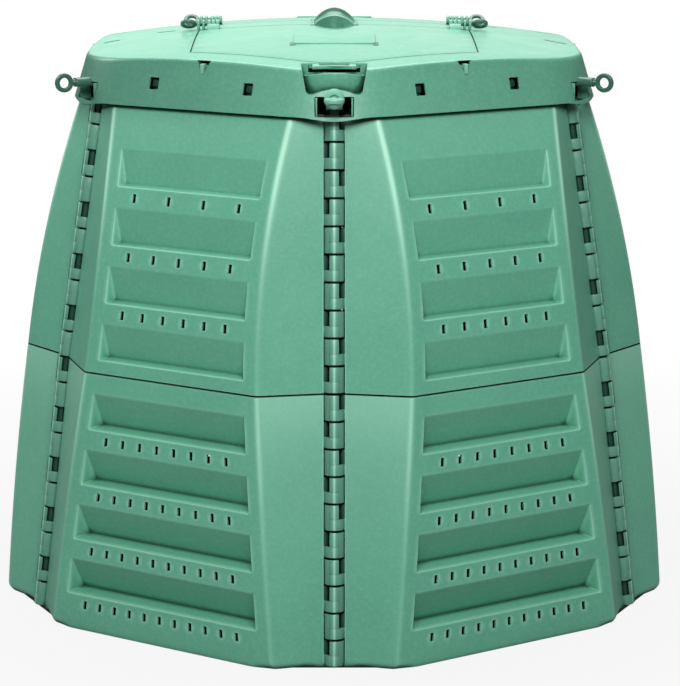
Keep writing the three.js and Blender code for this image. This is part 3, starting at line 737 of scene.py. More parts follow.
@dataclass
class LouvredPanel:
    """One moulded panel: a bowed field with sloping pockets and vent slots, and two wings."""

    form: BinForm
    level: int
    ledges: tuple[float, ...]
    depths: tuple[float, ...]
    counts: tuple[int, ...]
    seam_gap: float = 1.2
    pocket_height: float = 65.0
    pocket_margin: float = 26.0
    slot_drop: float = 18.0
    side_wall: float = 6.6
    slot_width: float = 6.8
    slot_height: float = 15.0
    slot_margin: float = 38.0
    crease: float = 3.2
    knuckles: int = 10
    knuckle_gap: float = 3.8
    bridge_share: float = 0.43
    mouth: float = 60.0
    bore: float = 8.4
    pitch: float = 5.0
    inner_margin: float = 12.5
    ledge_start: float = 0.4
    ledge_rise: float = 3.2
    foot_round: float = 15.0
    tuck: tuple[float, float] = (1.5, 9.0)
    row_step: float = 6.0
    row_least: float = 0.3
    snap_tab: float = 96.0
    tongue_half: float = 162.0
    # Painted light: highlights on the creases, wings, upper field, pocket walls, lips and knuckle fronts; painted
    # shade in the seam, on the knuckle sides, in the cradles and under the lid's skirt.
    crease_tones: tuple[tuple[float, float, int], ...] = ((0.12, 0.55, 3), (0.08, 1.17, 2))
    crease_spread: float = 4.6
    wing_tones: tuple[float, float] = (0.22, 0.13)
    brow_tone: float = 0.14
    field_tone: float = 0.06
    top_spread: float = 70.0
    seam_tone: float = -0.9
    lip_tone: float = 0.32
    wall_tones: tuple[float, float] = (0.42, 0.26)
    knuckle_tone: float = -0.46
    ridge_tone: float = 1.15
    cradle_tone: float = -0.95
    shade_foot: float = 920.5

    @property
    def foot(self) -> float:
        """Lower edge."""
        return self.level * (self.form.level_height + self.seam_gap)

    @property
    def top(self) -> float:
        """Upper edge."""
        return (self.level + 1) * self.form.level_height - (self.seam_gap if self.level == 0 else 0)

    def _rows(self) -> np.ndarray:
        """Heights of the mesh rows, close together at ledges, slots and edges.

        Returns:
            The heights, rising.
        """
        keys = {self.foot + d for d in FOOT_ROWS} | {self.top - d for d in TOP_ROWS}
        for ledge, count in zip(self.ledges, self.counts):
            keys |= {ledge + d for d in LEDGE_ROWS}
            keys |= {ledge + self.pocket_height + d for d in POCKET_TOP_ROWS}
            if count:
                middle = ledge - self.slot_drop
                keys |= {middle - self.slot_height / 2, middle + self.slot_height / 2}
        keys = sorted(z for z in keys if self.foot <= z <= self.top)
        rows = [keys[0]]
        for z in keys[1:]:
            if z - rows[-1] < self.row_least:
                continue
            steps = max(1, math.ceil((z - rows[-1]) / self.row_step))
            rows.extend(np.linspace(rows[-1], z, steps + 1)[1:])
        return np.array(rows)

    def _columns(self, z: np.ndarray) -> tuple[np.ndarray, int, int]:
        """Across positions of the mesh columns at every row.

        Args:
            z: Row heights.

        Returns:
            Positions by row and column, and the first and last column of the inner field.
        """
        half = self.form.field_half(z)
        edge, _ = self.form.edge(z)
        inner = half - self.pocket_margin - self.inner_margin
        count = int(round(2 * inner.mean() / self.pitch))
        middle = [inner * t for t in np.linspace(-1, 1, count + 1)]
        side = [half - self.pocket_margin + d for d in POCKET_SIDE_COLUMNS]
        side += [half + d for d in CREASE_COLUMNS]
        bend = CREASE_COLUMNS[-1]
        side += [half + bend + (edge - half - bend) * t for t in WING_COLUMNS]
        columns = [-c for c in reversed(side)] + middle + side
        return np.stack(columns, axis=1), len(side), len(side) + count

    def _warp(self, x: np.ndarray, z: np.ndarray, first: int, last: int) -> list[tuple[float, float, list[int]]]:
        """Draws column pairs onto the slots, row by row.

        Args:
            x: Positions by row and column, changed in place.
            z: Row heights.
            first: First column of the inner field.
            last: Last column of the inner field.

        Returns:
            For each slot row its lower and upper height and the left columns of its slots.
        """
        rows = []
        for ledge, count in zip(self.ledges, self.counts):
            if count == 0:
                continue
            middle = ledge - self.slot_drop
            low, high = middle - self.slot_height / 2, middle + self.slot_height / 2
            span = float(self.form.field_half(np.array(ledge))) - self.pocket_margin - self.slot_margin
            centres = np.linspace(-span, span, count)
            at = int(np.argmin(abs(z - middle)))
            base = x[at].copy()
            known, shift, lefts = [first], [0.0], []
            for centre in centres:
                mids = (base[first:last] + base[first + 1 : last + 1]) / 2
                j = first + int(np.argmin(abs(mids - centre)))
                lefts.append(j)
                known += [j, j + 1]
                shift += [centre - self.slot_width / 2 - base[j], centre + self.slot_width / 2 - base[j + 1]]
            known.append(last)
            shift.append(0.0)
            offsets = np.interp(np.arange(first, last + 1), known, shift)
            weight = smooth((13 - np.maximum(np.maximum(low - z, z - high), 0)) / 12)
            x[:, first : last + 1] += weight[:, None] * offsets[None, :]
            rows.append((low, high, lefts))
        return rows

    def _reach(self, x: np.ndarray, z: np.ndarray) -> np.ndarray:
        """Reach of the outer surface with creases, pockets and a rounded foot.

        Args:
            x: Positions by row and column.
            z: Row heights.

        Returns:
            The reach of each point.
        """
        reach = self.form.field_reach(z)[:, None]
        half = self.form.field_half(z)[:, None]
        edge, edge_reach = (values[:, None] for values in self.form.edge(z))
        past, run = abs(x) - half, edge - half
        drop = (past + np.sqrt(past * past + self.crease**2)) / 2
        rest = self.crease**2 / (4 * run) * np.clip(past / run, 0, 1)
        surface = reach - (reach - edge_reach) / run * (drop - rest)
        for ledge, depth in zip(self.ledges, self.depths):
            step = np.clip((z - (ledge - self.ledge_start)) / self.ledge_rise, 0, 1)
            rise = 0.7 * step + 0.3 * smooth(step)
            fall = self._fall(z, ledge)
            share = np.where((z > ledge - 4) & (z < ledge + self.pocket_height), rise * fall, 0)
            inside = half - self.pocket_margin - abs(x)
            side = np.clip(inside / (self.side_wall * fall[:, None] + 0.8), 0, 1)
            surface = surface - depth * share[:, None] * (0.8 * side + 0.2 * smooth(side))
        if self.level == 0:
            low = np.clip(1 - (z - self.foot) / self.foot_round, 0, 1)[:, None] ** 2
            near = smooth((abs(x) - half + 45) / 45)
            least, more = self.tuck
            surface = surface - low * (least + more * near * smooth((edge - abs(x)) / 30))
        return surface

    def _tone(self, x: np.ndarray, z: np.ndarray) -> np.ndarray:
        """Painted light of the panel: painted highlights at the creases, on the wings, at the top of the upper field,
        along the pocket walls and the ledge lips, and painted shade in the seam.

        Args:
            x: Positions by row and column.
            z: Row heights.

        Returns:
            The tone of each point.
        """
        half = self.form.field_half(z)[:, None]
        height = z[:, None]
        up = smooth((height - self.foot) / 420)
        least, more, power = self.crease_tones[self.level]
        # Painted highlight along each crease, stronger towards the top.
        tone = (least + more * up**power) * np.exp(-(((abs(x) - half) / self.crease_spread) ** 2))
        share = (height - self.foot) / self.form.level_height
        # Painted light on the wings, brighter towards the top; the lower wings also get a painted highlight under
        # their upper edge.
        wing = self.wing_tones[self.level] * share**2
        if self.level == 0:
            wing = wing + self.brow_tone * np.exp(-(((self.top - height) / self.top_spread) ** 2))
        # Painted light at the top of the upper field.
        field_top = self.field_tone * self.level * smooth((height - 840) / self.top_spread)
        tone = np.maximum(tone, np.where(abs(x) > half, wing, field_top))
        wall = half - self.pocket_margin - abs(x)
        for ledge in self.ledges:
            rise = np.clip((z - ledge) / 4, 0, 1)
            fall = self._fall(z, ledge)
            share = np.where((z > ledge) & (fall > 0), rise * fall, 0)[:, None]
            # Painted highlights along both edges of each pocket's side wall.
            outer, inner = np.exp(-((wall / 1.5) ** 2)), np.exp(-(((wall - self.side_wall * share) / 1.3) ** 2))
            near = outer * self.wall_tones[0] + inner * self.wall_tones[1]
            tone = np.maximum(tone, np.where(share > 0.02, near * np.minimum(1, 0.35 + share), 0))
            # Painted highlight along each ledge's lip.
            lip = np.exp(-(((z - ledge + 0.6) / 1.1) ** 2))[:, None] * (wall > 0)
            tone = np.maximum(tone, self.lip_tone * lip)
        # Painted shade in the seam between the levels.
        seam = (z > self.top - 0.1) if self.level == 0 else (z < self.foot + 0.1)
        return np.where(seam[:, None], self.seam_tone, tone)

    def _fall(self, z: np.ndarray, ledge: float) -> np.ndarray:
        """The share of a pocket's depth that is left at a height above its ledge."""
        return np.clip((ledge + self.pocket_height - z) / (self.pocket_height - 3), 0, 1)

    def _shell(self) -> Piece:
        """The moulded wall with its slots.

        Returns:
            The finished piece.
        """
        z = self._rows()
        x, first, last = self._columns(z)
        slot_rows = self._warp(x, z, first, last)
        rows, columns = x.shape
        height = np.repeat(z[:, None], columns, axis=1)
        points = np.stack([x, -self._reach(x, z), height], axis=2).reshape(-1, 3)
        holes = {
            (row, left)
            for low, high, lefts in slot_rows
            for row in range(rows - 1)
            if low - 0.01 <= z[row] and z[row + 1] <= high + 0.01
            for left in lefts
        }
        shell = make_object("shell", points, grid(rows, columns, holes))
        return walled(toned(shell, self._tone(x, z)), self.form.wall)

    def _knuckle(self, foot: float, height: float, side: int) -> list[Piece]:
        """One knuckle in its column's frame.

        Args:
            foot: Its lower end along the rod.
            height: Its whole height.
            side: 1 where the panel lies toward +x, -1 where it lies toward -x.

        Returns:
            The pieces: the barrel's bridged part, its free part beside the side slot, and the cradle.
        """
        radius, bore = self.form.knuckle, self.bore
        front = radius * 0.92
        root = radius + self.form.clearance + 3
        back = -bore - 1.2
        rest = (-radius + 1.2, 0)
        heel = (-radius + 0.6, -3)
        inner = [(-bore - 1, -3), (-bore - 1, 5), (-bore + 2.4, bore + 0.6), (bore - 2.4, bore + 0.6), (bore + 0.8, 4)]
        flank = [(root, -1.2), (root, 2.4)]
        bridge = [*flank, (radius * 0.99, 2.6), *arc(radius, front, 16, 180, 25)[:-1], rest, heel, *inner]
        hook = arc(radius - 2.6, front - 2.4, 180, self.mouth, 11)[1:]
        barrel = [*arc(radius, front, self.mouth, 180, 25)[:-1], rest, heel, (-radius + 3.4, -3), *hook]
        cradle = [
            *flank,
            (radius * 0.98, 2.2),
            (radius * 0.66, -1),
            (bore + 0.6, back + 1),
            (-bore - 0.6, back + 1),
            (-bore - 1.4, 5),
            (-radius * 0.5, 9.6),
            (-radius * 0.5, front - 0.6),
            (-radius * 0.8, 10.2),
            (-radius, 4),
            (-radius, back - 0.6),
            (-radius - 7, back - 0.6),
            (-radius - 7, back - 2.6),
            (radius * 0.8, back - 2.6),
        ]

        def outer(x: float, y: float, *_: float) -> float:
            """Painted shade at the sides and a painted highlight along the middle of the front."""
            return self.knuckle_tone + self.ridge_tone * math.exp(-((abs(x) / 1.8) ** 2)) * (-y > 10)

        def inside(x: float, y: float, *_: float) -> float:
            """Painted shade on the cradle, nearly black where it faces the rod."""
            return self.cradle_tone if side * x > -bore - 2.2 and -y < 9.8 else outer(x, y)

        joint, top = foot + height * self.bridge_share, foot + height
        parts = ((bridge, foot, joint, outer), (barrel, joint, top, outer), (cradle, foot, top, inside))
        pieces = []
        for outline, low, high, tone in parts:
            plan = [(side * u, -v) for u, v in outline]
            area = sum(a[0] * b[1] - b[0] * a[1] for a, b in zip(plan, plan[1:] + plan[:1]))
            piece = prism(plan if area > 0 else plan[::-1], low, high, "knuckle")
            pieces.append(retoned(softened(piece, 0.6, 40), tone))
        return pieces

    def _knuckles(self) -> list[Piece]:
        """Every second place on each of the panel's two columns.

        Returns:
            The pieces.
        """
        step = self.form.rod_length(self.level) / self.knuckles
        made = []
        for number in range(self.knuckles):
            side = -1 if number % 2 == 0 else 1
            frame = self.form.column_matrix(self.level, -side * TURN / 2)
            foot = number * step + self.knuckle_gap / 2
            made += [moved(piece, frame) for piece in self._knuckle(foot, step - self.knuckle_gap, side)]
        return made

    def _inner(self) -> list[Piece]:
        """The lap tongue of a lower panel, or the snap tabs of an upper one.

        Returns:
            The pieces.
        """

        def reach(height: float) -> float:
            """How far out the field stands."""
            return float(self.form.field_reach(np.array(height)))

        if self.level == 0:
            seam, wall = self.form.level_height, self.form.wall
            low, top = reach(seam - 22) - wall, reach(seam + 10) - wall
            outline = [
                (low + 1, seam - 22),
                (reach(seam - 16) - wall + 1, seam - 16),
                (reach(seam) - wall - 5.5, seam - 3),
                (top - 4.5, seam + 10),
                (top - 7.5, seam + 10),
                (reach(seam - 4) - wall - 8.5, seam - 4),
                (low - 3, seam - 22),
            ]
            return [softened(across(outline, -self.tongue_half, self.tongue_half, "tongue"), 0.6)]

        def skirt(height: float) -> float:
            """How far out the inner face of the lid's skirt stands."""
            return 474 - 26 * (height - 919) / 85 - 5

        top = self.form.level_height * 2
        outline = [
            (reach(top - 14) - 2, top - 14),
            (reach(top) - 2.5, top),
            (skirt(950) - 7, 950),
            (skirt(960) - 6, 960),
            (skirt(963) - 1, 961.5),
            (skirt(973) - 1, 972.5),
            (skirt(975) - 7, 974.5),
            (skirt(982) - 7, 982),
            (skirt(982) - 10, 982),
            (reach(top) - 7, top),
            (reach(top - 14) - 7, top - 14),
        ]
        # Painted light on the tabs that sit in the lid's snap holes.
        middles = (self.snap_tab, -self.snap_tab)
        return [toned(softened(across(outline, x - 7, x + 5, "tab"), 0.8), 0.8) for x in middles]

    def build(self, name: str) -> Piece:
        """Builds the whole panel, in front, facing -y.

        Args:
            name: The object's name.

        Returns:
            The finished piece.
        """
        made = merged([self._shell(), *self._knuckles(), *self._inner()], name)

        def shade(x: float, _y: float, z: float, _up: float, tone: float) -> float:
            """Painted shadow under the lid's skirt, which dips at the corners.

            Args:
                x: Across.
                _y: Along, not used.
                z: Height.
                _up: The normal's z, not used.
                tone: The old tone.

            Returns:
                The new tone.
            """
            to_corner = float(self.form.edge(np.array(z))[0]) + 12 - abs(x)
            past = z - self.shade_foot + 11.5 * float(smooth(np.array(1 - to_corner / 66)))
            return -min(1.0, past / 2.0) if past > 0 else tone

        return retoned(made, shade) if self.level else made

    def dress(self, material: bpy.types.Material) -> None:
        """Puts a copy of the panel on each side of the bin.

        Args:
            material: The finish.
        """
        level = ("lower", "upper")[self.level]
        pattern = dress(self.build(f"{level}_pattern"), material, 38)
        for side, name in enumerate(SIDE_NAMES):
            piece = linked(f"{level}_louvred_panel_{name}", pattern.data.copy())
            turned(piece, (side + 0.5) * TURN)
            place(piece, "bin", Slot.BODY, f"{level}_panel_{name}")
        bpy.data.objects.remove(pattern)
        LOG.info("%s panels: %d", level, SIDES)


@dataclass
class HingeRods:
    """The rods of the hinge columns; the upper ones end in forked heads."""

    form: BinForm
    radius: float = 8.0
    rounding: float = 1.2
    end_gap: float = 1.5
    head_half: float = 14.0
    head_depth: float = 15.0
    head_foot: float = 937.0
    head_top: float = 966.0
    pin_height: float = 960.0
    slot_half: float = 5.8

    def _rod(self, level: int, length: float) -> Piece:
        """A round rod with rounded ends, in its column.

        Args:
            level: 0 for the lower level, 1 for the upper.
            length: Its length with both end gaps.

        Returns:
            The finished piece.
        """
        gap, r, soft = self.end_gap, self.radius, self.rounding
        profile = [(r - soft, gap), (r, gap + soft), (r, length - gap - soft), (r - soft, length - gap)]
        # Painted shade that keeps the rods dark.
        return toned(moved(lathe(profile, 28, "rod"), self.form.column_matrix(level, 0)), -0.9)

    def _head(self) -> Piece:
        """The forked head, open at its top.

        Returns:
            The finished piece.
        """
        level, depth = self.form.level_height, self.head_depth
        foot, top = self.form.column[1:]
        reach = float(foot + (top - foot) * (self.pin_height - level) / level)
        low = (-self.head_half, -reach - depth / 2, self.head_foot)
        head = block(low, (self.head_half, -reach + depth / 2, self.head_top), "head")
        low = (-self.slot_half, -reach - depth, self.pin_height - self.slot_half)
        notch = block(low, (self.slot_half, -reach + depth, self.head_top + 20))
        return softened(carve(head, notch), self.rounding)

    def dress(self, material: bpy.types.Material) -> None:
        """Puts the rods in all six columns.

        Args:
            material: The finish.
        """
        level = self.form.level_height
        middle = (self.head_foot + self.pin_height) / 2
        length = self.form.rod_length(1) * (middle - level) / level
        lower = self._rod(0, self.form.rod_length(0))
        upper = merged([self._rod(1, length), self._head()], "upper_pattern")
        for kind, pattern in (("lower", lower), ("upper", upper)):
            dress(pattern, material)
            for corner, name in enumerate(CORNER_NAMES):
                pose = Matrix.Rotation(corner * TURN, 4, "Z")
                stand(pattern, f"{kind}_hinge_rod_{name}", pose, "bin", Slot.DARK, f"{kind}_rod_{name}")
            bpy.data.objects.remove(pattern)
        LOG.info("rods: %d", 2 * SIDES)


# --------------------------------------------------------------------------- the lid


SKIRT_RINGS = (0, 0.03, 0.1, 0.3, 0.55, 0.8, 1.0)
ROOF_RINGS = (0.93, 0.85, 0.76, 0.67, 0.58, 0.49, 0.4, 0.31, 0.22, 0.13, 0.05)
BELLY_RINGS = (
    (0.0, 0.0), (0.04, 0.0), (0.2, 0), (0.45, 0), (0.7, 0), (0.9, 0),
    (0.97, 0.2), (1.0, 1.2), (1.0, 3.2), (0.97, 4.2), (0.6, 5), (0.5, 12),
)  # fmt: skip


@dataclass
class LidForm:
    """The rounded hexagon of the skirt and the shallow dome over it, in millimetres."""

    foot: float = 927.0
    dip: float = 6.2
    apothem: float = 474.0
    corner: float = 517.0
    lean: float = 26.0
    apex: float = 1045.0
    rise: float = 41.0
    shoulder: float = 7.0
    arc_steps: int = 12
    side_steps: int = 14
    shoulder_steps: int = 5

    @property
    def low(self) -> float:
        """Lowest height of the skirt."""
        return self.foot - self.dip

    @property
    def shoulder_height(self) -> float:
        """Height of the shoulder at the corners."""
        return self.apex - self.rise

    def inset(self, z: float | np.ndarray) -> float | np.ndarray:
        """How far the skirt leans in at a height."""
        return self.lean * (z - self.low) / (self.shoulder_height - self.low)

    def dome(self, x: float, y: float) -> float:
        """Height of the roof's outer face."""
        return self.apex - self.rise * (x * x + y * y) / (self.corner - self.lean) ** 2

    def hexagon(self, inset: float) -> np.ndarray:
        """The rounded hexagon, moved in by a distance, counter-clockwise.

        Args:
            inset: How far it is moved in.

        Returns:
            The (x, y) points.
        """
        apothem, corner = self.apothem - inset, self.corner - inset
        radius = (apothem / COS_HALF - corner) / (1 / COS_HALF - 1)
        centre = (apothem - radius) / COS_HALF

        def spot(middle: float, angle: float) -> tuple[float, float]:
            """A point on the rounding of the corner at `middle`."""
            x = centre * math.cos(middle) + radius * math.cos(angle)
            return x, centre * math.sin(middle) + radius * math.sin(angle)

        points = []
        for side in range(SIDES):
            here, following = side * TURN - QUARTER, (side + 1) * TURN - QUARTER
            shares = [step / self.arc_steps - 0.5 for step in range(self.arc_steps + 1)]
            points += [spot(here, here + TURN * share) for share in shares]
            start, end = points[-1], spot(following, following - TURN / 2)
            for step in range(1, self.side_steps):
                t = step / self.side_steps
                points.append((mix(start[0], end[0], t), mix(start[1], end[1], t)))
        return np.array(points)

    def _foot_heights(self, outline: np.ndarray) -> np.ndarray:
        """Height of the skirt's lower edge, which dips at the corners.

        Args:
            outline: The (x, y) points of the skirt's foot.

        Returns:
            Their heights.
        """
        angle = np.arctan2(outline[:, 1], outline[:, 0])
        from_corner = (angle + TURN * 10) % TURN - TURN / 2
        along = abs(np.hypot(outline[:, 0], outline[:, 1]) * np.sin(from_corner))
        return self.foot - self.dip * smooth(1 - along / 66)

    def _roof(self, plan: np.ndarray, depth: float) -> np.ndarray:
        """Plan points lifted to a depth under the dome."""
        return np.column_stack([plan, np.array([self.dome(x, y) for x, y in plan]) - depth])

    def surface(self, depth: float, foot: float | None = None) -> list[np.ndarray]:
        """Rings of the lid's form moved inward, from the foot to near the apex.

        Args:
            depth: How far the form is moved inward.
            foot: Height of a flat foot, or None for the dipped edge.

        Returns:
            The rings.
        """
        base = self.hexagon(depth)
        heights = self._foot_heights(base) if foot is None else np.full(len(base), foot)
        knee = self._roof(self.hexagon(depth + self.lean), depth)
        flat = self.hexagon(depth + self.lean + self.shoulder)
        rings = []
        for share in SKIRT_RINGS:
            z = heights + (knee[:, 2] - self.shoulder - heights) * share
            rings.append(np.column_stack([self._hexagon_at(depth + self.inset(z)), z]))
        start, end = rings[-1], self._roof(flat, depth)
        for k in range(1, self.shoulder_steps + 1):
            t = k / self.shoulder_steps
            rings.append(start * (1 - t) ** 2 + knee * 2 * t * (1 - t) + end * t * t)
        return rings + [self._roof(flat * scale, depth) for scale in ROOF_RINGS]

    def _hexagon_at(self, inset: np.ndarray) -> np.ndarray:
        """The rounded hexagon with an inset of its own at each point.

        Args:
            inset: How far each point is moved in.

        Returns:
            The (x, y) points.
        """
        low, high = float(np.min(inset)), float(np.max(inset))
        a = self.hexagon(low)
        if high - low < 1e-6:
            return a
        b = self.hexagon(high)
        t = ((inset - low) / (high - low))[:, None]
        return a * (1 - t) + b * t

    def solid(self, depth: float, foot: float) -> Piece:
        """The form as a closed block with a flat foot."""
        return make_object("form", *skin(self.surface(depth, foot)))

    def shell(self, outer: float, inner: float, name: str) -> Piece:
        """A closed shell between two depths, open at its foot.

        Args:
            outer: Depth of the outer face.
            inner: Depth of the inner face.
            name: The object's name.

        Returns:
            The object.
        """
        out, into = self.surface(outer), self.surface(inner)
        points, faces = skin(out + into[::-1], loop=True)
        count, top = len(out[0]), len(out) - 1
        faces = [f for f in faces if not (f[0] // count == top and f[2] // count == top + 1)]
        faces.append(tuple(range(top * count, (top + 1) * count)))
        faces.append(tuple(reversed(range((top + 1) * count, (top + 2) * count))))
        return make_object(name, points, faces)


@dataclass
class FlapForm:
    """Plan and hinge line of a roof flap, made in front; the rear one is the same turned round."""

    half: float = 250.0
    corner_run: float = 67.0
    rear: float = 49.0
    apothem: float = 395.0
    gap: float = 2.6
    hinge: float = 47.0
    lift: float = 10.0
    barrel: float = 8.0
    barrel_start: float = 214.0
    barrel_end: float = 236.0
    tablet_start: float = 241.0
    tablet_end: float = 255.0

    def outline(self, grow: float) -> Outline:
        """The plan, grown by a margin, counter-clockwise.

        Args:
            grow: The margin.

        Returns:
            The (x, y) points.
        """
        half, rear, apothem = self.half + grow, self.rear - grow, self.apothem + grow
        side = -(apothem - half * SIN_HALF) / COS_HALF
        corner = apothem / COS_HALF
        a, b = self.corner_run * COS_HALF, corner - self.corner_run * SIN_HALF
        steps = 12
        shares = [k / steps for k in range(steps + 1)]
        front = [(a * (2 * t - 1), -b * ((1 - t) ** 2 + t * t) - corner * 2 * t * (1 - t)) for t in shares]
        return [(-half, -rear), (-half, side), *front, (half, side), (half, -rear)]

    def hinge_height(self, lid: LidForm) -> float:
        """Height of the hinge line."""
        return lid.dome(self.barrel_end, self.hinge) + self.lift


@dataclass(frozen=True)
class PaintedLidLight:
    """Painted light on the lid: a painted sheen on the roof, and painted shade on the skirt that grows from the front
    corner towards the sides, more on the left, and fades towards the rear.
    """

    roof_sheen: float = 0.13
    upright: float = 0.9
    left: float = 0.46
    right: float = 0.2
    start: float = -200.0
    run: float = 300.0
    half: float = 448.0

    def age(self, obj: Piece, form: LidForm) -> Piece:
        """Adds the painted roof sheen and the painted skirt shade to the tone of an object.

        Args:
            obj: The object.
            form: The lid's form.

        Returns:
            The object.
        """

        def rule(x: float, y: float, z: float, up: float, tone: float) -> float:
            """The tone of one point with the painted light added.

            Args:
                x: Across.
                y: Along.
                z: Height.
                up: The normal's z.
                tone: The old tone.

            Returns:
                The new tone.
            """
            # Painted sheen on the roof's upward faces.
            if z > form.shoulder_height - 8 and up > self.upright:
                return tone + self.roof_sheen
            # Painted shade on the skirt.
            if math.hypot(x, y) > form.apothem - 60 and z < form.shoulder_height + 6:
                fade = float(smooth(np.array(1 - (y - self.start) / self.run)))
                return tone - (self.left if x < 0 else self.right) * min(1.0, abs(x) / self.half) * fade
            return tone

        return retoned(obj, rule)


@dataclass
class DomedLid:
    """Skirt, rim, bridge and ledges of the lid, with windows, snap holes, recesses and tablets."""

    form: LidForm
    flap: FlapForm
    wall: float = 4.0
    window: tuple[float, float, float] = (33.0, 928.0, 961.0)
    snap: tuple[float, float, float, float] = (96.0, 9.6, 967.0, 10.2)
    recess_top: float = 63.0
    recess_foot_half: float = 48.0
    recess_foot: float = 964.0
    recess_back: float = 443.0
    belly_back: float = 459.0
    belly: tuple[float, float, float] = (37.0, 29.0, 1000.0)
    belly_spread: float = 15.0
    arch: float = 9.0
    drains: tuple[tuple[float, float, float, float], ...] = (
        (-332, -17, -298, -15),
        (293, 91, 313, 94),
        (-426, -83, -398, -70),
        (390, -78, 428, -97),
        (-432, 126, -405, 125),
        (390, 104, 420, 108),
    )
    drain_half: float = 6.5
    bowl: tuple[float, float] = (38.0, 128.0)
    past: float = 560.0
    notch: tuple[float, float, float, float] = (2.0, 14.0, 989.0, 1010.0)
    vent: tuple[float, float, float] = (44.0, 996.0, 1020.0)
    tablet_wall: float = 4.6
    seat: tuple[float, float, float, float] = (60.0, 26.0, 930.3, 935.3)
    rib: tuple[float, float, float] = (3.0, 988.0, 1005.0)
    rib_back: tuple[float, float, float] = (16.0, 984.0, 1003.0)
    guide: tuple[float, float, float, float] = (1.5, 4.5, 488.0, 509.0)
    side_band: tuple[float, float] = (440.0, 500.0)
    corner_band: tuple[float, float] = (486.0, 560.0)

    @property
    def above(self) -> float:
        """A height above the whole lid."""
        return self.form.apex + 30

    def _recess_outline(self, grow: float, top: float) -> Outline:
        """Front view of the finger recess.

        Args:
            grow: A margin all round.
            top: Height of its open top.

        Returns:
            The (x, z) points.
        """
        half, foot = self.recess_foot_half + grow, self.recess_foot - grow
        widen = (self.recess_top - self.recess_foot_half) / (self.form.apex - self.recess_foot)
        wide = half + widen * (top - foot)
        bend = half - 12
        arch = [(x, foot + self.arch * (1 - (x / bend) ** 2)) for x in np.linspace(-bend, bend, 13)]
        corner = [(half - 5, foot), (half - 0.5, foot + 4)]
        return [(-half + 0.5, foot + 4), (-half + 5, foot), *arch, *corner, (wide, top), (-wide, top)]

    def _cutters(self) -> list[Piece]:
        """Windows and snap holes round the skirt.

        Returns:
            The tools.
        """
        half, low, high = self.window
        offset, snap_half, snap_z, snap_rise = self.snap
        foot, top = snap_z - snap_rise, snap_z + snap_rise
        made = []
        for side in range(SIDES):
            outline = rounded([(-half, low), (half, low), (half, high), (-half, high)], 3)
            made.append(turned(outward(outline, *self.corner_band), side * TURN))
            for x in (offset, -offset):
                start, end = x - snap_half, x + snap_half
                hole = rounded([(start, foot), (end, foot), (end, top), (start, top)], 2)
                made.append(turned(outward(hole, *self.side_band), (side + 0.5) * TURN))
        return made

    def _frame(self) -> Piece:
        """The shell with all its openings.

        Returns:
            The finished piece.
        """
        flap, high = self.flap, self.above
        frame = self.form.shell(0, self.wall, "lid_frame_body")
        carve(frame, *(turned(prism(flap.outline(flap.gap), 960, high), turn) for turn in FRONT_REAR))
        rooms = []
        for turn in FRONT_REAR:
            for s in (1, -1):
                a, b = between(s, flap.barrel_start - flap.gap, flap.barrel_end + flap.gap)
                room = block((a, -60, 1000), (b, -flap.hinge + flap.barrel + flap.gap, high))
                rooms.append(turned(room, turn))
        carve(frame, *rooms)
        carve(frame, *self._cutters())
        recess = self._recess_outline(0, high)
        carve(frame, *(turned(outward(recess, self.recess_back, self.past), turn) for turn in FRONT_REAR))
        carve(frame, self._bowl())
        d = self.drain_half
        slits = [prism([(a, b - d), (e, f - d), (e, f + d), (a, b + d)], 980, high) for a, b, e, f in self.drains]
        narrow, wide, foot, top = self.notch
        for side in range(SIDES):
            outline = [(-narrow, foot), (narrow, foot), (wide, top), (-wide, top)]
            notch = outward(outline, self.side_band[0] - 2, self.side_band[1])
            slits.append(turned(notch, (side + 0.5) * TURN))
        return carve(frame, *slits)

    def _ledge(self) -> Piece:
        """The ledge that the flaps rest on.

        Returns:
            The finished piece.
        """
        ring = self.form.shell(self.wall + 0.4, self.wall * 2 + 0.4, "ledge")
        carve(ring, *(turned(prism(self.flap.outline(10), 980, 1080), t) for t in FRONT_REAR), cut=Cut.INSIDE)
        carve(ring, *(turned(prism(self.flap.outline(-12), 970, 1090), t) for t in FRONT_REAR))
        return carve(ring, self._bowl())

    def _bowl(self) -> Piece:
        """The oval that the grip's hollows need."""
        return prism(oval(self.bowl[0] + 2, self.bowl[1], 40), 990, self.above)

    def _cup(self) -> Piece:
        """The walls of the finger recess with the rounded belly in it.

        Returns:
            The finished piece.
        """
        top, back = self.form.apex, self.recess_back
        walls = outward(self._recess_outline(self.wall, top), back - self.wall, self.past)
        carve(walls, outward(self._recess_outline(0, top + 9), back, self.past + 20))
        carve(walls, self.form.solid(self.wall - 0.1, 900), cut=Cut.INSIDE)
        carve(walls, prism(self.flap.outline(self.flap.gap), 990, 1080))
        half, low, high = self.vent
        carve(walls, block((-half, -back - 1, low), (half, -back + self.wall + 2, high)))
        wide, narrow, crest = self.belly
        rings = []
        for share, inset in BELLY_RINGS:
            radius = narrow + (wide - narrow) * math.sin(min(share * 1.4, 1) * math.pi / 2) - inset
            ring = []
            for c, s in oval(1, 1, 40):
                side = c**2
                foot = self.recess_foot + self.arch * (1 - side) - 2
                ring.append(((radius + self.belly_spread) * c, radius * s, mix(foot, crest - 7 * side, share)))
            rings.append(np.array(ring))
        belly = shifted(make_object("belly", *skin(rings)), 0, -self.belly_back, 0)
        carve(belly, block((-90, -560, 900), (90, -back + 1, 1012)), cut=Cut.INSIDE)
        return merged([walls, belly], "cup")

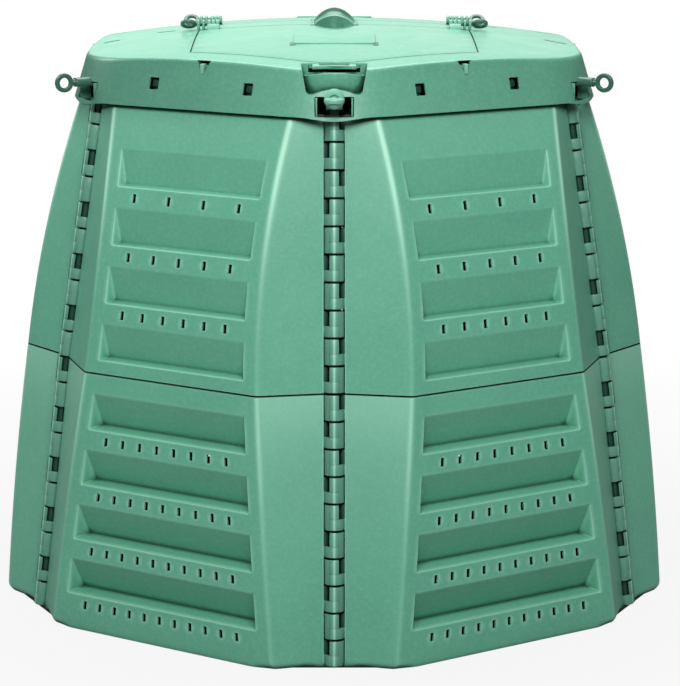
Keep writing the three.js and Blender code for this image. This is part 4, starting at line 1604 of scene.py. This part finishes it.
    def _tablets(self) -> list[Piece]:
        """The hinge tablets that hold the pins' outer ends.

        Returns:
            The pieces.
        """
        flap, thick = self.flap, self.tablet_wall
        hinge, r, height = flap.hinge, flap.barrel, flap.hinge_height(self.form)
        foot = self.form.dome(flap.tablet_end, hinge) - 6
        crown = [(hinge + r * math.cos(a), height + r * math.sin(a)) for a in (math.pi * k / 12 for k in range(13))]
        outline = [*crown, (hinge - r - 2, foot), (hinge + r + 2, foot)]
        made = []
        for s in (1, -1):
            a, b = between(s, flap.tablet_start, flap.tablet_end)
            for low, high in ((a, a + thick), (b - thick, b)):
                made.append(softened(across(outline, low, high, "tablet"), 0.8))
        return made

    def _trim(self) -> list[Piece]:
        """Pads that stand on the upper panels, ribs on the shoulder and guide walls in the windows.

        Returns:
            The pieces.
        """
        outer = self.form.apothem - self.form.inset(930) - 2
        half, low, high = self.window
        (seat, depth, seat_foot, seat_top), (rib, rib_foot, rib_top) = self.seat, self.rib
        sheet, sheet_foot, sheet_top = self.rib_back
        start, end, inner, front = self.guide
        made = []
        for side in range(SIDES):
            pad = softened(block((-seat, -outer, seat_foot), (seat, -outer + depth, seat_top), "seat"), 0.8)
            # Painted highlight on the ribs and painted light on the sheets behind them.
            ridge = toned(softened(block((-rib, -455, rib_foot), (rib, -443.5, rib_top), "rib"), 0.5), 0.5)
            back = toned(block((-sheet, -446, sheet_foot), (sheet, -443, sheet_top), "back"), 0.25)
            made += [turned(piece, (side + 0.5) * TURN) for piece in (pad, ridge, back)]
            for s in (1, -1):
                a, b = between(s, half - start, half - end)
                guide = block((a, -front, low - 2), (b, -inner, high - 1.5), "guide")
                made.append(turned(softened(guide, 0.6), side * TURN))
        return made

    def build(self) -> Piece:
        """Builds the whole frame.

        Returns:
            The finished piece.
        """
        parts = [self._frame(), self._ledge()]
        for turn in FRONT_REAR:
            parts += [turned(piece, turn) for piece in (self._cup(), *self._tablets())]
        return PaintedLidLight().age(merged(parts + self._trim(), "lid_frame_moulding"), self.form)

    def dress(self, material: bpy.types.Material) -> None:
        """Builds and places the frame."""
        place(dress(self.build(), material, 28), "lid", Slot.LID, "lid_frame", "front_finger_cup", "rear_finger_cup")
        LOG.info("lid frame")


@dataclass
class RoofFlap:
    """A roof flap with its plate, finger lip and hinge barrels."""

    form: LidForm
    flap: FlapForm
    wall: float = 4.0
    plate_half: float = 73.0
    plate_near: float = 192.0
    plate_far: float = 293.0
    lip_half: float = 37.0
    lip_reach: float = 484.0
    lip_wall: float = 5.2
    lip_top: float = 1010.8
    lip_slot: tuple[float, float, float] = (28.0, 430.0, 470.0)
    bowl: tuple[float, float] = (43.5, 133.0)

    def _sheet(self) -> Piece:
        """The curved sheet.

        Returns:
            The finished piece.
        """
        flap = self.flap
        sheet = self.form.shell(0, self.wall, "sheet")
        carve(sheet, prism(flap.outline(0), 950, 1090), cut=Cut.INSIDE)
        tools = [prism(oval(*self.bowl, 40), 1000, 1090)]
        for s in (1, -1):
            a, b = between(s, flap.barrel_end + flap.gap, flap.half + 20)
            tools.append(block((a, -flap.rear - flap.barrel, 950), (b, 0, 1090)))
        carve(sheet, *tools)
        half = self.lip_slot[0]
        hollow = carve(self.form.solid(1.3, 900), block((-half, -460, 950), (half, -330, 1090)), cut=Cut.INSIDE)
        return carve(sheet, hollow)

    def _plate(self) -> list[Piece]:
        """The low raised plate and two thin pads of painted shade at its far end.

        Returns:
            The pieces.
        """
        half, near, far = self.plate_half, self.plate_near, self.plate_far
        plan = rounded([(-half, -far), (half, -far), (half, -near), (-half, -near)], 9, 6)
        rings = []
        for grow, lift in ((0, -2), (0, 1.6), (-0.7, 2.6), (-2.0, 3.0)):
            spots = [(x * (1 + grow / half), y - grow * (y + (near + far) / 2) / -50) for x, y in plan]
            rings.append(np.array([(x, y, self.form.dome(x, y) + lift) for x, y in spots]))
        made = [make_object("plate", *skin(rings))]
        for x in (half, -half):
            spot = block((x - 4.6, -far - 10, 0), (x + 4.6, -far + 17, 1), "spot")
            for vertex in spot.data.vertices:
                height = self.form.dome(vertex.co.x / MM, vertex.co.y / MM)
                vertex.co.z = (height + (0.9 if vertex.co.z > 0 else -1)) * MM
            # Painted shade on the pads.
            made.append(toned(spot, -0.6))
        return made

    def _lip(self) -> Piece:
        """The finger lip with a bowed front edge and a slot behind its bar.

        Returns:
            The finished piece.
        """
        steps, side_steps = 10, 6
        root = self.flap.apothem / COS_HALF - self.lip_half
        near = self.form.dome(0, root)
        rows = []
        for k in range(steps + 1):
            t = k / steps
            ring = []
            for j in range(2 * side_steps + 1):
                u = -1 + j / side_steps
                reach = root + (self.lip_reach - 6 * u * u - root) * t
                height = mix(near, self.lip_top, min(1, t * 2)) - 1.4 * u * u * t - 1.2 * (1 - t)
                ring.append((self.lip_half * u, -reach, height))
            under = [(x, y, z - 3 - (self.lip_wall - 3) * t) for x, y, z in reversed(ring)]
            rows.append(np.array(ring + under)[::-1])
        lip = make_object("lip", *skin(rows))
        half, start, end = self.lip_slot
        outline = [(-half, -start), (-half + 5, -end), (half - 5, -end), (half, -start)]
        return softened(carve(lip, prism(outline, 980, 1030)), 1.1, 50)

    def _barrels(self) -> list[Piece]:
        """The hinge barrels with their webs.

        Returns:
            The pieces.
        """
        flap = self.flap
        hinge, height = flap.hinge, flap.hinge_height(self.form)
        foot = self.form.dome(flap.barrel_end, 66) - 3
        web = [(hinge + 3, foot + 4), (hinge + 22, foot), (hinge + 12, height - 1), (hinge + 3, height + 3)]
        made = []
        for s in (1, -1):
            a, b = between(s, flap.barrel_start, flap.barrel_end)
            for low, high in ((a, a + 6.4), (a + 8, b - 8), (b - 6.4, b)):
                barrel = across(oval(flap.barrel, flap.barrel, 20, hinge, height), low, high, "barrel")
                made.append(softened(barrel, 0.6))
            made.append(softened(across(web, a, b, "web"), 0.8))
        return made

    def build(self, name: str) -> Piece:
        """Builds the flap, in front."""
        made = merged([self._sheet(), *self._plate(), self._lip(), *self._barrels()], name)
        return PaintedLidLight().age(made, self.form)

    def dress(self, material: bpy.types.Material) -> None:
        """Builds and places both flaps.

        Args:
            material: The finish.
        """
        pattern = dress(self.build("flap_pattern"), material, 28)
        for name, turn in zip(("front_flap", "rear_flap"), FRONT_REAR):
            stand(pattern, f"{name}_moulding", Matrix.Rotation(turn, 4, "Z"), name, Slot.LID, name)
        bpy.data.objects.remove(pattern)
        LOG.info("flaps: 2")


@dataclass
class CentreGrip:
    """An arched grip in the bridge of the lid, with a finger hollow before and behind it."""

    form: LidForm
    plan: tuple[float, float] = (42.2, 131.6)
    half: float = 38.0
    web: tuple[float, float] = (20.0, 62.0)
    hollow: float = 135.0
    crest: tuple[float, float] = (1072.0, 1050.0)
    lip: float = 12.0
    depth: float = 24.0
    lift: float = 0.8
    sheet: float = 2.4
    # Painted light: a painted sheen on the rim like the roof's, and painted shade in the hollows and under the bar,
    # one tone for each place of the profile, the same in front and behind.
    roof_tone: float = 0.13
    tones: tuple[float, ...] = (
        0.13, 0.13, 0.1, 0, -0.3, -0.42, -0.42, -0.38, -0.36, -0.4, -0.42, -0.46, -0.55, -0.75, -0.75, -0.5,
    )  # fmt: skip

    def _slice(self, x: float, arched: bool) -> np.ndarray:
        """A profile across the grip at one x, from the front rim to the rear rim.

        Args:
            x: Where the profile is taken.
            arched: Whether the bar and the hollows are part of it.

        Returns:
            The points.
        """
        share = min(abs(x) / self.half, 1.0) ** 2
        rim = self.plan[1] * math.sqrt(max(0.0, 1 - (x / self.plan[0]) ** 2))

        def roof(y: float) -> float:
            """Height of the sheet that lies on the roof."""
            return self.form.dome(x, y) + self.lift

        web = mix(*self.web, share)
        far = max(min(mix(self.hollow - 6, self.web[1], share), rim - 2.5), web + 0.5)
        top, edge = mix(*self.crest, share), roof(web) + self.lip * (1 - share)
        deep = self.depth * (1 - share)
        wall = roof(web) - deep * 0.85
        places = [
            (rim, roof(rim) - 2.2),
            (rim - 1.2, roof(rim - 1.2)),
            (far, roof(far)),
            (mix(far, web, 0.03), roof(far) - deep * 0.08),
            (mix(far, web, 0.3), roof(far) - deep * 0.62),
            (mix(far, web, 0.62), roof(web) - deep * 0.98),
            (mix(far, web, 0.9), roof(web) - deep),
            (mix(far, web, 0.97), wall),
            (web + 0.5, mix(wall, edge, 0.8)),
            (web, edge),
            (web - 1.6, edge + 1.0),
            (mix(web, 4.5, 0.5), mix(edge, top - 7, 0.62)),
            (5.0, top - 7.0),
            (3.4, top - 4.6),
            (2.6, top - 1.2),
            (1.2, top),
        ]
        if not arched:
            places = places[:1] + [(y, roof(y)) for y, _ in places[1:]]
        front = [(x, -y, z) for y, z in places]
        return np.array(front + [(x, -y, z) for _, y, z in reversed(front)])

    def build(self) -> Piece:
        """Builds the bar, the hollows and the rim that lies on the roof.

        Returns:
            The finished piece.
        """
        shares = np.sin(np.linspace(-QUARTER, QUARTER, 41))
        rim = (self.half + 0.05, 39.4, 40.8, self.plan[0] - 0.2)
        slices = [self._slice(-x, False) for x in reversed(rim)]
        slices += [self._slice(x, True) for x in shares * self.half]
        slices += [self._slice(x, False) for x in rim]
        count = len(slices[0])
        faces = [tuple(reversed(face)) for face in grid(len(slices), count, set())]
        made = make_object("centre_grip_moulding", np.vstack(slices), faces)
        # The profile's painted light fades to the roof's painted sheen towards the ends of the bar.
        tones = []
        for vertex in made.data.vertices:
            k = vertex.index % count
            inward = 1 - (min(self.half, abs(vertex.co.x) / MM) / self.half) ** 6
            tones.append(mix(self.roof_tone, self.tones[min(k, count - 1 - k)], inward))
        return walled(toned(made, np.array(tones)), self.sheet)

    def dress(self, material: bpy.types.Material) -> None:
        """Builds and places the grip."""
        place(dress(self.build(), material, 40), "lid", Slot.LID, "centre_grip")
        LOG.info("centre grip")


@dataclass
class RingPins:
    """Turn-lock pins at the corners and hinge pins of the flaps, each with a ring handle."""

    form: LidForm
    flap: FlapForm
    pin_height: float = 960.0
    tip: tuple[float, float] = (5.5, 467.0)
    shank: tuple[float, float] = (9.0, 488.0)
    ring: tuple[float, float, float, float] = (17.0, 9.0, 8.0, 552.0)
    collar: tuple[float, float, float] = (17.0, 519.0, 532.0)
    hinge_shank: float = 4.0
    hinge_ring: tuple[float, float, float] = (15.0, 8.0, 6.0)
    tilt: float = math.radians(32)

    def _pin(self, profile: Outline, steps: int, ring: tuple[float, float, float], reach: float, name: str) -> Piece:
        """A pin along -y with its ring in the y-z plane.

        Args:
            profile: Its (radius, reach) profile.
            steps: Steps of the turn.
            ring: Outer radius, inner radius and thickness of the ring.
            reach: How far out the ring's middle stands.
            name: The object's name.

        Returns:
            The object.
        """
        shaft = turned(lathe(profile, steps, "shaft"), QUARTER, "X")
        handle = turned(ring_handle(*ring, "ring"), QUARTER, "Y")
        return merged([shaft, shifted(handle, 0, -reach, 0)], name)

    def _turn_lock(self, with_collar: bool) -> Piece:
        """A turn-lock pin; the one without a collar gets painted shade.

        Args:
            with_collar: Whether it has the collar that the front and rear ones have.

        Returns:
            The finished piece.
        """
        outer, inner, thick, reach = self.ring
        (tip_r, tip_y), (r, start) = self.tip, self.shank
        neck = reach - (outer + inner) / 2
        profile = [(tip_r - 1.5, tip_y), (tip_r, tip_y + 1.5), (tip_r, start - 1), (r - 0.8, start), (r, start + 0.8)]
        knob, low, high = self.collar
        if with_collar:
            profile += [(r, low - 0.4), (knob - 1.4, low), (knob, low + 1.4)]
            profile += [(knob, high - 3), (knob - 2, high - 0.8), (knob - 5, high)]
        profile += [(r - 1, high + 0.4), (r - 1, neck - 9), (thick / 2 + 0.4, neck - 2), (thick / 2, neck + 1)]
        made = self._pin(profile, 28, self.ring[:3], reach, "turn_lock_pattern")
        # Painted shade on the pins without a collar.
        return made if with_collar else toned(made, -0.8)

    def _hinge_pin(self) -> Piece:
        """A hinge pin of a flap.

        Returns:
            The finished piece.
        """
        outer, inner, thick = self.hinge_ring
        reach = self.flap.tablet_end + 1.5 + outer
        neck = reach - (outer + inner) / 2
        r, start = self.hinge_shank, self.flap.barrel_start
        profile = [(r - 1, start), (r, start + 1), (r, neck - 3), (thick / 2, neck)]
        # Painted shade on the hinge pins.
        return toned(self._pin(profile, 20, self.hinge_ring, reach, "hinge_pin_pattern"), -0.75)

    def dress(self, material: bpy.types.Material) -> None:
        """Places all pins.

        Args:
            material: The finish.
        """
        plain, collared = (dress(self._turn_lock(kind), material) for kind in (False, True))
        seat = Matrix.Translation((0, 0, self.pin_height * MM))
        for corner, name in enumerate(CORNER_NAMES):
            pattern, roll = (collared, QUARTER) if name in ("front", "rear") else (plain, 0)
            pose = seat @ Matrix.Rotation(corner * TURN, 4, "Z") @ Matrix.Rotation(roll, 4, "Y")
            node = f"turn_lock_pin_{name}"
            stand(pattern, f"ring_turn_lock_{name}", pose, node, Slot.DARK, node)
        pattern = dress(self._hinge_pin(), material)
        height = self.flap.hinge_height(self.form)
        ends = (("front_right", -1, 1), ("front_left", -1, -1), ("rear_right", 1, 1), ("rear_left", 1, -1))
        for name, side, end in ends:
            seat = Matrix.Translation((0, side * self.flap.hinge * MM, height * MM))
            roll = Matrix.Rotation(QUARTER - side * end * self.tilt, 4, "Y")
            pose = seat @ Matrix.Rotation(end * QUARTER, 4, "Z") @ roll
            stand(pattern, f"ring_hinge_pin_{name}", pose, "lid", Slot.DARK, f"hinge_pin_{name}")
        for done in (plain, collared, pattern):
            bpy.data.objects.remove(done)
        LOG.info("ring pins: %d", SIDES + 4)


# --------------------------------------------------------------------------- the studio


@dataclass(frozen=True)
class Lamp:
    """A rectangular soft lamp that looks at the bin."""

    name: str
    spot: tuple[float, float, float]
    size: tuple[float, float]
    power: float
    aim: tuple[float, float, float] = (0, 0, 0.5)

    def hang(self) -> None:
        """Puts the lamp in the scene."""
        data = bpy.data.lights.new(self.name, "AREA")
        data.shape = "RECTANGLE"
        data.size, data.size_y = self.size
        data.energy = self.power
        lamp = linked(self.name, data)
        lamp.location = self.spot
        lamp.rotation_euler = (Vector(self.aim) - Vector(self.spot)).to_track_quat("-Z", "Y").to_euler()


LAMPS = (
    Lamp("key", (0.0, -3.3, 2.9), (2.4, 1.2), 116),
    Lamp("side", (-1.5, 0.3, 1.8), (0.6, 0.6), 10),
    Lamp("top", (0.0, 0.8, 3.4), (2.6, 2.0), 103),
    Lamp("back", (0.0, 3.2, 1.9), (3.6, 1.2), 13),
)


@dataclass
class Studio:
    """Camera, floor and lights."""

    focal: float = 114.97
    eye: tuple[float, float, float] = (0.0, -4.1587, 1.3793)
    pitch: float = 12.934
    shift: float = 0.0084
    ambient: float = 0.16
    floor_grey: float = 0.3
    floor_half: float = 9000.0
    glow: tuple[float, float, float] = (0.75, 1.9, 0.89)
    # Colours of the patch of painted shade under the bin.
    painted_shade: tuple[Colour, Colour] = ((0.012, 0.009, 0.007), (0.035, 0.027, 0.02))

    def camera(self) -> None:
        """Puts the camera where the photograph was taken."""
        data = bpy.data.cameras.new("camera")
        data.lens = self.focal
        data.sensor_width = 36
        data.shift_x = self.shift
        camera = linked("camera", data)
        camera.location = self.eye
        camera.rotation_euler = (math.radians(90 - self.pitch), 0, 0)
        bpy.context.scene.camera = camera

    def lights(self) -> None:
        """Soft lamps and a world that is white to the camera and dim to the bin."""
        for lamp in LAMPS:
            lamp.hang()
        world = bpy.data.worlds.new("world")
        bpy.context.scene.world = world
        graph = Graph(world)
        seen = graph.add("LightPath").outputs["Is Camera Ray"]
        level = graph.spread(seen, 0, 1, self.ambient, 1)
        graph.fill(graph.tree.nodes["Background"], {"Strength": level, "Color": (1, 1, 1, 1)})

    def floor(self) -> None:
        """A pale floor that fades to white away from the bin."""
        far = self.floor_half
        corners = np.array([(-far, -far, -0.5), (far, -far, -0.5), (far, far, -0.5), (-far, far, -0.5)])
        made = make_object("floor", corners, [(0, 1, 2, 3)])
        material = bpy.data.materials.new("studio_floor")
        graph = Graph(material)
        nodes = graph.tree.nodes
        graph.fill(nodes["Principled BSDF"], {"Base Color": (*[self.floor_grey] * 3, 1), "Roughness": 0.9})
        away = graph.add("VectorMath", {0: graph.add("TexCoord").outputs["Object"]}, operation="LENGTH")
        near, far, least = self.glow
        fade = graph.spread(away.outputs["Value"], near, far, least, 1)
        seen = graph.add("LightPath").outputs["Is Camera Ray"]
        factor = graph.add("Math", {0: seen, 1: fade}, operation="MULTIPLY").outputs[0]
        ends = {1: nodes["Principled BSDF"].outputs[0], 2: graph.add("Emission").outputs[0]}
        both = graph.add("MixShader", {0: factor, **ends})
        graph.fill(nodes["Material Output"], {"Surface": both.outputs[0]})
        made.data.materials.append(material)

    def ground(self) -> None:
        """A dark brownish patch under the open foot of the bin, painted shade that keeps the inside and the slots
        dark.
        """
        reach, half = 600, 224
        points = []
        for angle in (side * TURN for side in range(SIDES)):
            c, s = math.cos(angle), math.sin(angle)
            points += [(reach * c - y * s, reach * s + y * c) for y in (-half, half)]
        made = prism(points, -0.4, 1.2, "ground")
        material = bpy.data.materials.new("painted_shade_patch")
        graph = Graph(material)
        mottle = graph.add("TexNoise", {"Scale": 60}).outputs["Fac"]
        low, high = self.painted_shade
        colour = graph.blend(mottle, (*low, 1), high)
        graph.fill(graph.tree.nodes["Principled BSDF"], {"Base Color": colour, "Roughness": 0.95})
        made.data.materials.append(material)

    def build(self) -> None:
        """Sets the scene."""
        self.camera()
        self.lights()
        self.floor()
        self.ground()
        bpy.context.scene.view_settings.view_transform = "Standard"
        LOG.info("studio")


def main() -> None:
    """Builds the whole model."""
    logging.basicConfig(level=logging.INFO, format="%(message)s")
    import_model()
    form, lid, flap = BinForm(), LidForm(), FlapForm()
    body, cover, dark = BODY_PLASTIC.build(), LID_PLASTIC.build(), DARK_PLASTIC.build()
    Studio().build()
    lower = LouvredPanel(form, 0, ledges=(65, 165, 265, 365), depths=(38, 36.3, 34.7, 33), counts=(11, 10, 9, 8))
    upper = LouvredPanel(form, 1, ledges=(489, 589, 689, 789), depths=(23, 22, 18.5, 15), counts=(0, 6, 5, 4))
    for panel in (lower, upper):
        panel.dress(body)
    HingeRods(form).dress(dark)
    DomedLid(lid, flap).dress(cover)
    RoofFlap(lid, flap).dress(cover)
    CentreGrip(lid).dress(cover)
    RingPins(lid, flap).dress(PIN_PLASTIC.build())


if __name__ == "__main__":
    main()
